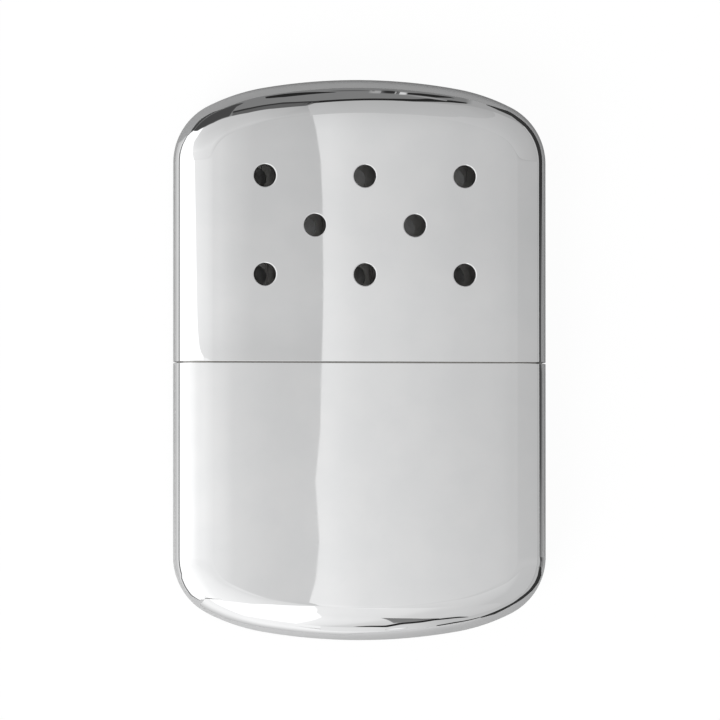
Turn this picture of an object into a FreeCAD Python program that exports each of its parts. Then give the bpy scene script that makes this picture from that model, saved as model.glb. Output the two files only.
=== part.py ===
import FreeCAD, Part
import math
import os

import Sketcher

# A pocket catalytic hand warmer: two drawn cups that meet at a seam, a collar and a filler neck
# soldered into the lower one, cotton that holds the fuel, and a burner that pushes over the neck.
#
# Millimetres. X runs across the case, Y along it towards the crown of the lid, and Z through it from
# the back face (Z 0) to the front face. The origin is the middle of the outline on the back face.
# Every body is drawn about the middle plane of the case, and its Placement sets it in its place.

V = FreeCAD.Vector
PARTS_FOLDER = "parts"
TOUCH = 1e-4

SIZES = {
    # The case: both cups share one section and one crown.
    "case_width": 67.0,
    "case_thickness": 14.0,
    "case_wall": 0.45,
    "lid_length": 50.6,
    "tank_length": 49.5,
    "seam_gap": 0.2,
    "crown_radius": 101.6,
    "crown_chord": 34.8,
    "shoulder_radius": 35.25,
    "corner_radius": 11.35,
    "side_land": 1.6,
    "rim_radius": 0.25,
    # The vent holes: rows of three, two and three, in both walls of the lid.
    "vent_diameter": 3.9,
    "vent_pitch_across": 18.0,
    "vent_pitch_along": 8.8,
    "vent_middle_row": 24.35,
    "vent_edge_radius": 0.12,
    # The collar: a sleeve that the lid slides over, closed by a flat deck.
    "collar_clearance": 0.15,
    "collar_wall": 0.45,
    "collar_height": 4.65,
    "collar_skirt": 8.0,
    "collar_shoulder_radius": 1.6,
    "collar_solder_height": 2.4,
    "grip_bump_diameter": 2.4,
    "grip_bump_height": 0.1,
    "grip_bump_spacing": 34.0,
    "grip_bump_drop": 2.6,
    # The filler neck, which stands in the deck.
    "neck_width": 33.0,
    "neck_ledge": 2.1,
    "neck_wall": 0.4,
    "neck_height": 4.6,
    "neck_root": 1.2,
    "neck_fit": 0.05,
    "neck_bead": 0.3,
    "neck_bead_height": 0.8,
    "neck_solder_leg": 0.7,
    # The cotton.
    "cotton_gap": 0.3,
    "mouth_depth": 5.0,
    "mouth_plug_height": 5.0,
    "wad_land": 0.9,
    "wad_corner_radius": 7.0,
    "bottom_wad_inset": 12.0,
    "bottom_wad_height": 8.4,
    "bottom_wad_clearance": 2.8,
    # The burner: a skirt over the neck, a slotted cage, and the catalyst between them.
    "seat_gap": 0.1,
    "skirt_clearance": 0.15,
    "skirt_wall": 0.4,
    "skirt_foot_gap": 0.4,
    "skirt_edge_radius": 0.7,
    "skirt_brim": 0.6,
    "window_rim": 0.95,
    "flange_inset": 0.95,
    "cage_wall": 0.35,
    "cage_height": 3.6,
    "cage_edge_radius": 0.9,
    "cage_flange": 0.7,
    "slot_width": 1.7,
    "slot_count": 9,
    "slot_sill": 0.9,
    "spine_width": 1.6,
    "cloth_thickness": 0.45,
    "catalyst_gap": 0.25,
    "catalyst_edge_radius": 0.8,
    "screen_clearance": 0.8,
    "screen_plate": 0.25,
    "screen_hole_diameter": 0.9,
    "screen_holes_across": 15,
    "screen_rows": 3,
    "frame_rim": 0.8,
    "frame_plate": 0.3,
}

# Sizes that follow from those above: heights along Y, from the middle of the case, and then the
# sections that fit into one another.
FORMULAS = {
    "tank_rim": "(tank_length - lid_length - seam_gap) / 2",
    "tank_floor": "tank_rim - tank_length + case_wall",
    "lid_rim": "tank_rim + seam_gap",
    "collar_foot": "tank_rim - collar_skirt",
    "deck_top": "tank_rim + collar_height",
    "neck_top": "deck_top + neck_height",
    "neck_foot": "deck_top - collar_wall - neck_root",
    "burner_seat": "neck_top + seat_gap",
    "skirt_depth": "burner_seat - deck_top - neck_solder_leg - skirt_foot_gap",
    "skirt_top": "burner_seat + skirt_wall",
    "plug_foot": "neck_top - mouth_depth - mouth_plug_height",
    "wad_top": "plug_foot - cotton_gap",
    "wad_foot": "tank_floor + bottom_wad_clearance + bottom_wad_height + cotton_gap",
    "wad_height": "(wad_top - wad_foot - cotton_gap) / 2",
    "wad_pitch": "wad_height + cotton_gap",
    "edge_radius": "(case_thickness - side_land) / 2",
    "bore_width": "case_width - 2 * case_wall",
    "bore_thickness": "case_thickness - 2 * case_wall",
    "bore_radius": "edge_radius - case_wall",
    "collar_width": "bore_width - 2 * collar_clearance",
    "collar_thickness": "bore_thickness - 2 * collar_clearance",
    "collar_radius": "bore_radius - collar_clearance",
    "neck_thickness": "collar_thickness - 2 * neck_ledge",
    "neck_bore_width": "neck_width - 2 * neck_wall",
    "neck_bore_thickness": "neck_thickness - 2 * neck_wall",
    "bead_width": "neck_width + 2 * neck_bead",
    "bead_thickness": "neck_thickness + 2 * neck_bead",
    "skirt_bore_width": "bead_width + 2 * skirt_clearance",
    "skirt_bore_thickness": "bead_thickness + 2 * skirt_clearance",
    "skirt_width": "skirt_bore_width + 2 * skirt_wall",
    "skirt_thickness": "skirt_bore_thickness + 2 * skirt_wall",
    "cage_width": "skirt_width - 2 * (flange_inset + cage_flange)",
    "cage_thickness": "skirt_thickness - 2 * (flange_inset + cage_flange)",
    "cage_bore_width": "cage_width - 2 * cage_wall",
    "cage_bore_thickness": "cage_thickness - 2 * cage_wall",
    "slot_pitch": "(cage_width - cage_thickness) / (slot_count - 1)",
    "window_width": "cage_bore_width - 2 * window_rim",
    "window_thickness": "cage_bore_thickness - 2 * window_rim",
    "screen_width": "neck_bore_width - 2 * screen_clearance",
    "screen_thickness": "neck_bore_thickness - 2 * screen_clearance",
    "screen_hole_pitch": "(screen_width - screen_thickness) / (screen_holes_across - 1)",
    "wad_width": "(collar_width - 2 * collar_wall - 3 * cotton_gap) / 2",
    "upper_wad_thickness": "collar_thickness - 2 * (collar_wall + cotton_gap)",
    "lower_wad_thickness": "bore_thickness - 2 * cotton_gap",
    "wad_edge_radius": "(upper_wad_thickness - wad_land) / 2",
    "bottom_wad_width": "bore_width - 2 * bottom_wad_inset",
    "bottom_wad_radius": "(bottom_wad_height - wad_land / 2) / 2",
}

# The rows of vent holes: each row's place along Y and its holes' places across, in pitches.
VENT_ROWS = (
    (1, (-1, 0, 1)),
    (0, (-0.5, 0.5)),
    (-1, (-1, 0, 1)),
)


def write_sheet(doc):
    """Put the driving sizes and the ones that follow into the sheet, each under its own alias."""
    sheet = doc.addObject("Spreadsheet::Sheet", "sizes")
    rows = {name: str(size) for name, size in SIZES.items()}
    rows.update({name: "=" + formula for name, formula in FORMULAS.items()})
    for row, (name, content) in enumerate(rows.items(), start=1):
        sheet.set(f"A{row}", name)
        sheet.set(f"B{row}", content)
        sheet.setAlias(f"B{row}", name)
    doc.recompute()
    return sheet


# Bodies, sketches and features


def new_body(doc, name, height, across="0"):
    """Start a sub-part whose own origin lies at the given height along the case."""
    body = doc.addObject("PartDesign::Body", name)
    body.Label = name
    body.setExpression("Placement.Base.x", across)
    body.setExpression("Placement.Base.y", height)
    body.setExpression("Placement.Base.z", "sizes.case_thickness / 2")
    return body


def new_sketch(body, name, plane_role, offset="0"):
    """Attach a sketch to one of the body's origin planes, moved along that plane's normal."""
    sketch = body.newObject("Sketcher::SketchObject", name)
    plane = next(plane for plane in body.Origin.OriginFeatures if plane.Role == plane_role)
    sketch.AttachmentSupport = [(plane, "")]
    sketch.MapMode = "FlatFace"
    sketch.setExpression("AttachmentOffset.Base.z", offset)
    return sketch


def section_sketch(body, name, height="0"):
    """A sketch across the case: its x is X, its y is Z, and its normal points to -Y."""
    return new_sketch(body, name, "XZ_Plane", f"-({height})")


def face_sketch(body, name, height="0"):
    """A sketch in the plane of the case's faces."""
    return new_sketch(body, name, "XY_Plane", height)


def bind(sketch, name, expression, kind, *places):
    """Add a constraint whose size follows an expression."""
    size = sketch.evalExpression(expression)
    index = sketch.addConstraint(Sketcher.Constraint(kind, *places, size))
    sketch.renameConstraint(index, name)
    sketch.setExpression("Constraints." + name, expression)


def constrain(sketch, first, *constraints):
    """Add constraints whose curve numbers count from the first curve of a loop.

    A curve's number is followed by the number of one of its points, except where curves are Equal.
    """
    for kind, *places in constraints:
        step = 1 if kind == "Equal" else 2
        for index in range(0, len(places), step):
            if places[index] >= 0:
                places[index] += first
        sketch.addConstraint(Sketcher.Constraint(kind, *places))


def arc(centre, radius, start, end):
    """An arc that runs counter-clockwise between two angles in degrees."""
    circle = Part.Circle(centre, V(0, 0, 1), radius)
    return Part.ArcOfCircle(circle, math.radians(start), math.radians(end))


def draw_slot(sketch, loop, length, depth):
    """Draw a loop with two straight sides and two round ends about the origin."""
    radius = sketch.evalExpression(depth) / 2
    half = sketch.evalExpression(length) / 2 - radius
    first = sketch.GeometryCount
    sketch.addGeometry([
        Part.LineSegment(V(-half, -radius, 0), V(half, -radius, 0)),
        arc(V(half, 0, 0), radius, -90, 90),
        Part.LineSegment(V(half, radius, 0), V(-half, radius, 0)),
        arc(V(-half, 0, 0), radius, 90, 270),
    ], False)
    constrain(
        sketch, first,
        ("Tangent", 0, 2, 1, 1), ("Tangent", 1, 2, 2, 1),
        ("Tangent", 2, 2, 3, 1), ("Tangent", 3, 2, 0, 1),
        ("Equal", 1, 3), ("Horizontal", 0), ("Symmetric", 1, 3, 3, 3, -1, 1),
    )
    bind(sketch, loop + "_radius", f"({depth}) / 2", "Radius", first + 1)
    bind(sketch, loop + "_span", f"({length}) - ({depth})", "DistanceX", first + 3, 3, first + 1, 3)


def draw_rounded_rectangle(sketch, loop, width, depth, radius):
    """Draw a rectangle with four round corners about the origin."""
    corner = sketch.evalExpression(radius)
    half = sketch.evalExpression(width) / 2
    rise = sketch.evalExpression(depth) / 2
    across, along = half - corner, rise - corner
    first = sketch.GeometryCount
    sketch.addGeometry([
        Part.LineSegment(V(-across, -rise, 0), V(across, -rise, 0)),
        arc(V(across, -along, 0), corner, -90, 0),
        Part.LineSegment(V(half, -along, 0), V(half, along, 0)),
        arc(V(across, along, 0), corner, 0, 90),
        Part.LineSegment(V(across, rise, 0), V(-across, rise, 0)),
        arc(V(-across, along, 0), corner, 90, 180),
        Part.LineSegment(V(-half, along, 0), V(-half, -along, 0)),
        arc(V(-across, -along, 0), corner, 180, 270),
    ], False)
    joints = [("Tangent", curve, 2, (curve + 1) % 8, 1) for curve in range(8)]
    constrain(
        sketch, first, *joints,
        ("Horizontal", 0), ("Vertical", 2), ("Horizontal", 4), ("Vertical", 6),
        ("Equal", 1, 3), ("Equal", 1, 5), ("Equal", 1, 7), ("Symmetric", 1, 3, 5, 3, -1, 1),
    )
    bind(sketch, loop + "_radius", radius, "Radius", first + 1)
    bind(sketch, loop + "_width", width, "DistanceX", first + 6, 1, first + 2, 1)
    bind(sketch, loop + "_depth", depth, "DistanceY", first + 0, 1, first + 4, 1)


def extrude(kind, sketch, name, length, direction="up"):
    """Pad or pocket a sketch up (+Y) or down the case from a section, or both ways from its plane."""
    body = sketch.getParentGeoFeatureGroup()
    before = body.Tip.Shape.Volume if body.Tip else 0.0
    feature = body.newObject("PartDesign::" + kind, name)
    feature.Profile = sketch
    feature.Midplane = direction == "both"
    feature.Reversed = (kind == "Pad") == (direction == "up")
    feature.setExpression("Length", length)
    body.Document.recompute()
    gained = feature.Shape.Volume > before
    if gained != (kind == "Pad"):
        raise RuntimeError(f"{body.Label}: {name} doesn't meet the solid")
    return feature


def round_edges(feature, name, radius, test):
    """Fillet the edges of a feature that pass the test."""
    edges = [f"Edge{number}" for number, edge in enumerate(feature.Shape.Edges, start=1) if test(edge)]
    fillet = feature.getParentGeoFeatureGroup().newObject("PartDesign::Fillet", name)
    fillet.Base = (feature, edges)
    fillet.setExpression("Radius", radius)
    feature.Document.recompute()
    return fillet


def hollow_out(feature, name, wall, test):
    """Leave a wall inside the feature's surface, open at the faces that pass the test."""
    faces = [f"Face{number}" for number, face in enumerate(feature.Shape.Faces, start=1) if test(face)]
    shell = feature.getParentGeoFeatureGroup().newObject("PartDesign::Thickness", name)
    shell.Base = (feature, faces)
    shell.Reversed = True
    shell.setExpression("Value", wall)
    feature.Document.recompute()
    return shell


def lies_across(shape, height):
    """Whether an edge or face lies flat in the section at a height of its own body."""
    bounds = shape.BoundBox
    return bounds.YLength < TOUCH and abs(bounds.YMin - height) < TOUCH


def lies_flat(shape, level):
    """Whether an edge or face lies flat at a distance from the middle plane, on either side."""
    bounds = shape.BoundBox
    return bounds.ZLength < TOUCH and abs(abs(bounds.ZMin) - level) < TOUCH


# The case


def draw_cup_outline(sketch, length):
    """Draw half the case: its rim on the x axis, and its crown one length above.

    Five tangent arcs close it: a corner, a shoulder, the crown, and the other shoulder and corner.
    """
    size = {name: sketch.evalExpression("sizes." + name) for name in
            ("case_width", "crown_radius", "crown_chord", "shoulder_radius", "corner_radius")}
    crown, shoulder, corner = size["crown_radius"], size["shoulder_radius"], size["corner_radius"]
    half = size["case_width"] / 2
    crown_at = V(0, sketch.evalExpression(length) - crown, 0)
    crown_angle = math.asin(size["crown_chord"] / 2 / crown)
    lean = V(math.sin(crown_angle), math.cos(crown_angle), 0)
    shoulder_at = crown_at + lean * (crown - shoulder)
    reach = half - corner - shoulder_at.x
    corner_at = V(half - corner, shoulder_at.y + math.sqrt((shoulder - corner) ** 2 - reach ** 2), 0)
    crown_end = 90 - math.degrees(crown_angle)
    corner_end = 90 - math.degrees(math.asin(reach / (shoulder - corner)))

    def left(point):
        return V(-point.x, point.y, 0)

    sketch.addGeometry([
        Part.LineSegment(V(-half, 0, 0), V(half, 0, 0)),
        Part.LineSegment(V(half, 0, 0), V(half, corner_at.y, 0)),
        arc(corner_at, corner, 0, corner_end),
        arc(shoulder_at, shoulder, corner_end, crown_end),
        arc(crown_at, crown, crown_end, 180 - crown_end),
        arc(left(shoulder_at), shoulder, 180 - crown_end, 180 - corner_end),
        arc(left(corner_at), corner, 180 - corner_end, 180),
        Part.LineSegment(V(-half, corner_at.y, 0), V(-half, 0, 0)),
    ], False)
    joints = [("Tangent", curve, 2, curve + 1, 1) for curve in range(1, 7)]
    constrain(
        sketch, 0, *joints,
        ("Coincident", 0, 2, 1, 1), ("Coincident", 7, 2, 0, 1),
        ("Vertical", 1), ("Vertical", 7), ("Symmetric", 0, 1, 0, 2, -1, 1),
        ("PointOnObject", 4, 3, -2), ("Equal", 3, 5), ("Equal", 2, 6),
    )
    bind(sketch, "width", "sizes.case_width", "DistanceX", 0, 1, 0, 2)
    bind(sketch, "crown", "sizes.crown_radius", "Radius", 4)
    bind(sketch, "crown_chord", "sizes.crown_chord", "DistanceX", 4, 2, 4, 1)
    bind(sketch, "crown_centre", f"{length} - sizes.crown_radius", "DistanceY", -1, 1, 4, 3)
    bind(sketch, "shoulder", "sizes.shoulder_radius", "Radius", 3)
    bind(sketch, "corner", "sizes.corner_radius", "Radius", 2)


def draw_cup(body, length):
    """Make a drawn cup of even wall, its mouth at the body's origin and its crown towards +Y."""
    outline = face_sketch(body, "outline")
    draw_cup_outline(outline, length)
    block = extrude("Pad", outline, "block", "sizes.case_thickness", "both")
    face_level = block.evalExpression("sizes.case_thickness") / 2

    def on_face_edge(edge):
        return lies_flat(edge, face_level) and not lies_across(edge, 0)

    rounded = round_edges(block, "rounded", "sizes.edge_radius", on_face_edge)
    cup = hollow_out(rounded, "cup", "sizes.case_wall", lambda face: lies_across(face, 0))
    rim_level = face_level - cup.evalExpression("sizes.case_wall") / 2
    half_width = cup.evalExpression("(sizes.case_width - sizes.case_wall) / 2")

    def on_outer_rim(edge):
        bounds = edge.BoundBox
        outside = max(abs(bounds.ZMin), abs(bounds.ZMax)) > rim_level or abs(bounds.XMin) > half_width
        return lies_across(edge, 0) and outside

    return round_edges(cup, "rim", "sizes.rim_radius", on_outer_rim)


def make_tank_shell(doc):
    """The lower half of the case: the drawn tank, turned so that its crown is the bottom."""
    body = new_body(doc, "tank_shell", "sizes.tank_rim")
    body.Placement = FreeCAD.Placement(V(0, 0, 0), FreeCAD.Rotation(V(0, 0, 1), 180))
    draw_cup(body, "sizes.tank_length")


def make_lid_shell(doc):
    """The upper half of the case, with vent holes through both of its walls."""
    body = new_body(doc, "lid_shell", "sizes.lid_rim")
    draw_cup(body, "sizes.lid_length")
    vents = face_sketch(body, "vents")
    radius = vents.evalExpression("sizes.vent_diameter") / 2
    for along, places in VENT_ROWS:
        for across in places:
            place_x = f"{across} * sizes.vent_pitch_across"
            place_y = f"sizes.vent_middle_row + {along} * sizes.vent_pitch_along"
            centre = V(vents.evalExpression(place_x), vents.evalExpression(place_y), 0)
            hole = vents.addGeometry(Part.Circle(centre, V(0, 0, 1), radius), False)
            if hole:
                vents.addConstraint(Sketcher.Constraint("Equal", 0, hole))
            bind(vents, f"across_{hole}", place_x, "DistanceX", -1, 1, hole, 3)
            bind(vents, f"along_{hole}", place_y, "DistanceY", -1, 1, hole, 3)
    bind(vents, "diameter", "sizes.vent_diameter", "Diameter", 0)
    pierced = extrude("Pocket", vents, "pierced", "2 * sizes.case_thickness", "both")
    face_level = pierced.evalExpression("sizes.case_thickness") / 2

    def on_hole_edge(edge):
        is_hole = isinstance(edge.Curve, Part.Circle) and abs(edge.Curve.Radius - radius) < TOUCH
        return is_hole and lies_flat(edge, face_level)

    round_edges(pierced, "punched_edges", "sizes.vent_edge_radius", on_hole_edge)


# The tank's closure


def make_tank_collar(doc):
    """The sleeve that closes the tank: it grips the lid above the seam and is soldered in below it."""
    body = new_body(doc, "tank_collar", "sizes.collar_foot")
    length = "(sizes.collar_skirt + sizes.collar_height)"
    section = section_sketch(body, "section")
    draw_rounded_rectangle(section, "sleeve", "sizes.collar_width", "sizes.collar_thickness",
                           "sizes.collar_radius")
    block = extrude("Pad", section, "block", length)
    top = block.evalExpression(length)
    rounded = round_edges(block, "shoulder", "sizes.collar_shoulder_radius",
                          lambda edge: lies_across(edge, top))
    hollow_out(rounded, "sleeve", "sizes.collar_wall", lambda face: lies_across(face, 0))
    mouth = section_sketch(body, "mouth", length)
    draw_slot(mouth, "mouth", "sizes.neck_width + 2 * sizes.neck_fit",
              "sizes.neck_thickness + 2 * sizes.neck_fit")
    extrude("Pocket", mouth, "neck_hole", "2 * sizes.collar_wall", "down")
    add_grip_bumps(body)


def add_grip_bumps(body):
    """Raise two round bumps on the front and two on the back, which hold the lid by friction."""
    level = "(sizes.collar_thickness / 2 + sizes.grip_bump_height)"
    sketch = face_sketch(body, "grip_bumps", level)
    height = "sizes.collar_skirt + sizes.collar_height - sizes.grip_bump_drop"
    radius = sketch.evalExpression("sizes.grip_bump_diameter") / 2
    for side in (-1, 1):
        place = f"{side} * sizes.grip_bump_spacing / 2"
        centre = V(sketch.evalExpression(place), sketch.evalExpression(height), 0)
        bump = sketch.addGeometry(Part.Circle(centre, V(0, 0, 1), radius), False)
        bind(sketch, f"across_{bump}", place, "DistanceX", -1, 1, bump, 3)
        bind(sketch, f"along_{bump}", height, "DistanceY", -1, 1, bump, 3)
        bind(sketch, f"diameter_{bump}", "sizes.grip_bump_diameter", "Diameter", bump)
    bumps = extrude("Pad", sketch, "bumps", "sizes.grip_bump_height + sizes.collar_wall / 2", "up")
    face_level = bumps.evalExpression(level)
    rounded = round_edges(bumps, "soft_bumps", "0.8 * sizes.grip_bump_height",
                          lambda edge: lies_flat(edge, face_level))
    mirror = body.newObject("PartDesign::Mirrored", "rear_bumps")
    mirror.Originals = [bumps, rounded]
    middle = next(plane for plane in body.Origin.OriginFeatures if plane.Role == "XY_Plane")
    mirror.MirrorPlane = (middle, [""])
    body.Tip = mirror
    body.Document.recompute()


def make_collar_solder(doc):
    """The band of solder between the collar's skirt and the wall of the tank."""
    body = new_body(doc, "collar_solder", "sizes.collar_foot")
    section = section_sketch(body, "section")
    draw_rounded_rectangle(section, "outer", "sizes.bore_width", "sizes.bore_thickness",
                           "sizes.bore_radius")
    draw_rounded_rectangle(section, "inner", "sizes.collar_width", "sizes.collar_thickness",
                           "sizes.collar_radius")
    extrude("Pad", section, "band", "sizes.collar_solder_height")


def make_filler_neck(doc):
    """The flattened tube that the fuel is poured into, with a rolled bead round its mouth."""
    body = new_body(doc, "filler_neck", "sizes.neck_foot")
    length = "(sizes.neck_top - sizes.neck_foot)"
    tube = section_sketch(body, "tube_section")
    draw_slot(tube, "outer", "sizes.neck_width", "sizes.neck_thickness")
    draw_slot(tube, "inner", "sizes.neck_bore_width", "sizes.neck_bore_thickness")
    extrude("Pad", tube, "tube", length)
    bead = section_sketch(body, "bead_section", length)
    draw_slot(bead, "outer", "sizes.bead_width", "sizes.bead_thickness")
    draw_slot(bead, "inner", "sizes.neck_bore_width", "sizes.neck_bore_thickness")
    rim = extrude("Pad", bead, "bead", "sizes.neck_bead_height", "down")
    tube_half = rim.evalExpression("sizes.neck_thickness") / 2

    def on_bead(edge):
        bounds = edge.BoundBox
        outside = max(abs(bounds.ZMin), abs(bounds.ZMax)) > tube_half + TOUCH
        return outside and bounds.YLength < TOUCH

    round_edges(rim, "rolled", "0.9 * sizes.neck_bead", on_bead)


def make_neck_solder(doc):
    """The fillet of solder round the foot of the neck, on the deck."""
    body = new_body(doc, "neck_solder", "sizes.deck_top")
    section = section_sketch(body, "section")
    draw_slot(section, "outer", "sizes.neck_width + 2 * sizes.neck_solder_leg",
              "sizes.neck_thickness + 2 * sizes.neck_solder_leg")
    draw_slot(section, "inner", "sizes.neck_width", "sizes.neck_thickness")
    ring = extrude("Pad", section, "ring", "sizes.neck_solder_leg")
    top = ring.evalExpression("sizes.neck_solder_leg")
    neck_half = ring.evalExpression("sizes.neck_thickness") / 2

    def on_outer_top(edge):
        bounds = edge.BoundBox
        return lies_across(edge, top) and max(abs(bounds.ZMin), abs(bounds.ZMax)) > neck_half + TOUCH

    round_edges(ring, "sloped", "0.9 * sizes.neck_solder_leg", on_outer_top)


# The cotton


def make_cotton_wads(doc):
    """Four wads in two rows, the upper row inside the collar's skirt, and one below them."""
    for row, thickness in (("upper", "sizes.upper_wad_thickness"), ("lower", "sizes.lower_wad_thickness")):
        rows_down = 0.5 if row == "upper" else 1.5
        height = f"sizes.wad_top - {rows_down} * sizes.wad_pitch + sizes.cotton_gap / 2"
        for side, sign in (("left", -1), ("right", 1)):
            across = f"{sign} * (sizes.wad_width + sizes.cotton_gap) / 2"
            body = new_body(doc, f"cotton_wad_{row}_{side}", height, across)
            draw_wad(body, "sizes.wad_width", "sizes.wad_height", thickness,
                     "sizes.wad_corner_radius", "sizes.wad_edge_radius")
    height = "sizes.wad_top - 2 * sizes.wad_pitch - sizes.bottom_wad_height / 2"
    body = new_body(doc, "cotton_wad_bottom", height)
    draw_wad(body, "sizes.bottom_wad_width", "sizes.bottom_wad_height", "sizes.lower_wad_thickness",
             "sizes.bottom_wad_radius", "sizes.bottom_wad_radius - sizes.cotton_gap")


def draw_wad(body, width, height, thickness, corner, edge_radius):
    """A pillow of cotton about the body's origin."""
    outline = face_sketch(body, "outline")
    draw_rounded_rectangle(outline, "wad", width, height, corner)
    block = extrude("Pad", outline, "block", thickness, "both")
    face_level = block.evalExpression(thickness) / 2
    round_edges(block, "pillow", edge_radius, lambda edge: lies_flat(edge, face_level))


def make_cotton_mouth_plug(doc):
    """The wad in the neck, which takes the fuel from above and passes its vapour up."""
    body = new_body(doc, "cotton_mouth_plug", "sizes.plug_foot")
    section = section_sketch(body, "section")
    draw_slot(section, "plug", "sizes.neck_bore_width - 2 * sizes.cotton_gap",
              "sizes.neck_bore_thickness - 2 * sizes.cotton_gap")
    extrude("Pad", section, "plug", "sizes.mouth_plug_height")


# The burner


def make_burner_skirt(doc):
    """The pressed cap over the neck: a plate with a window, a skirt and a narrow brim."""
    body = new_body(doc, "burner_skirt", "sizes.burner_seat")
    foot = "-sizes.skirt_depth"
    outside = section_sketch(body, "outside", foot)
    draw_slot(outside, "skirt", "sizes.skirt_width", "sizes.skirt_thickness")
    block = extrude("Pad", outside, "block", "sizes.skirt_depth + sizes.skirt_wall")
    top = block.evalExpression("sizes.skirt_wall")
    round_edges(block, "shoulder", "sizes.skirt_edge_radius", lambda edge: lies_across(edge, top))
    brim = section_sketch(body, "brim_section", foot)
    draw_slot(brim, "brim", "sizes.skirt_width + 2 * sizes.skirt_brim",
              "sizes.skirt_thickness + 2 * sizes.skirt_brim")
    extrude("Pad", brim, "brim", "sizes.skirt_wall")
    inside = section_sketch(body, "inside", foot)
    draw_slot(inside, "bore", "sizes.skirt_bore_width", "sizes.skirt_bore_thickness")
    extrude("Pocket", inside, "bore", "sizes.skirt_depth", "up")
    window = section_sketch(body, "window_section")
    draw_slot(window, "window", "sizes.window_width", "sizes.window_thickness")
    extrude("Pocket", window, "window", "2 * sizes.skirt_wall", "up")


def make_burner_cage(doc):
    """The guard over the catalyst: a box on a flange, slotted from its sills to the spine on top."""
    body = new_body(doc, "burner_cage", "sizes.skirt_top")
    section = section_sketch(body, "section")
    draw_slot(section, "cage", "sizes.cage_width", "sizes.cage_thickness")
    block = extrude("Pad", section, "block", "sizes.cage_height")
    top = block.evalExpression("sizes.cage_height")
    rounded = round_edges(block, "shoulder", "sizes.cage_edge_radius",
                          lambda edge: lies_across(edge, top))
    hollow_out(rounded, "box", "sizes.cage_wall", lambda face: lies_across(face, 0))
    flange = section_sketch(body, "flange_section")
    draw_slot(flange, "outer", "sizes.cage_width + 2 * sizes.cage_flange",
              "sizes.cage_thickness + 2 * sizes.cage_flange")
    draw_slot(flange, "inner", "sizes.cage_bore_width", "sizes.cage_bore_thickness")
    extrude("Pad", flange, "flange", "sizes.cage_wall")
    cut_cage_slots(body)


def cut_cage_slots(body):
    """Cut a pair of slots, front and back, and repeat it along the cage."""
    sketch = section_sketch(body, "slot_pair", "sizes.cage_height")
    place = "-(sizes.slot_count - 1) * sizes.slot_pitch / 2"
    half_slot = sketch.evalExpression("sizes.slot_width") / 2
    middle = sketch.evalExpression(place)
    near = sketch.evalExpression("sizes.spine_width") / 2
    far = sketch.evalExpression("sizes.cage_thickness") / 2
    for side, sign in (("front", 1), ("back", -1)):
        first = sketch.GeometryCount
        corners = [V(middle - half_slot, sign * near, 0), V(middle + half_slot, sign * near, 0),
                   V(middle + half_slot, sign * far, 0), V(middle - half_slot, sign * far, 0)]
        sides = [Part.LineSegment(corners[number], corners[(number + 1) % 4]) for number in range(4)]
        sketch.addGeometry(sides, False)
        joints = [("Coincident", line, 2, (line + 1) % 4, 1) for line in range(4)]
        constrain(sketch, first, *joints,
                  ("Horizontal", 0), ("Vertical", 1), ("Horizontal", 2), ("Vertical", 3))
        bind(sketch, side + "_left", f"{place} - sizes.slot_width / 2", "DistanceX", -1, 1, first, 1)
        bind(sketch, side + "_width", "sizes.slot_width", "DistanceX", first, 1, first, 2)
        bind(sketch, side + "_near", f"{sign} * sizes.spine_width / 2", "DistanceY", -1, 1, first, 1)
        bind(sketch, side + "_far", f"{sign} * sizes.cage_thickness / 2", "DistanceY", -1, 1, first + 2, 1)
    slots = extrude("Pocket", sketch, "slots", "sizes.cage_height - sizes.slot_sill", "down")
    add_row(body, slots, "slot_row", "X_Axis", "sizes.slot_pitch", "sizes.slot_count")


def add_row(body, feature, name, axis_role, pitch, count):
    """Repeat a feature along one of the body's origin axes and make that row the body's tip."""
    row = body.newObject("PartDesign::LinearPattern", name)
    row.Originals = [feature]
    axis = next(axis for axis in body.Origin.OriginFeatures if axis.Role == axis_role)
    row.Direction = (axis, [""])
    row.setExpression("Occurrences", count)
    row.setExpression("Length", f"({count} - 1) * {pitch}")
    body.Tip = row
    body.Document.recompute()
    return row


def make_catalyst_cloth(doc):
    """The woven glass cloth that lies on the skirt's plate, inside the cage."""
    body = new_body(doc, "catalyst_cloth", "sizes.skirt_top")
    section = section_sketch(body, "section")
    draw_slot(section, "cloth", "sizes.cage_bore_width - 2 * sizes.catalyst_gap",
              "sizes.cage_bore_thickness - 2 * sizes.catalyst_gap")
    extrude("Pad", section, "cloth", "sizes.cloth_thickness")


def make_catalyst_mat(doc):
    """The glass-fibre mat that carries the platinum and fills the cage above the cloth."""
    body = new_body(doc, "catalyst_mat", "sizes.skirt_top + sizes.cloth_thickness")
    section = section_sketch(body, "section")
    draw_slot(section, "mat", "sizes.cage_bore_width - 2 * sizes.catalyst_gap",
              "sizes.cage_bore_thickness - 2 * sizes.catalyst_gap")
    height = "(sizes.cage_height - sizes.cage_wall - sizes.cloth_thickness - sizes.catalyst_gap)"
    block = extrude("Pad", section, "block", height)
    top = block.evalExpression(height)
    round_edges(block, "soft_top", "sizes.catalyst_edge_radius", lambda edge: lies_across(edge, top))


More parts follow.
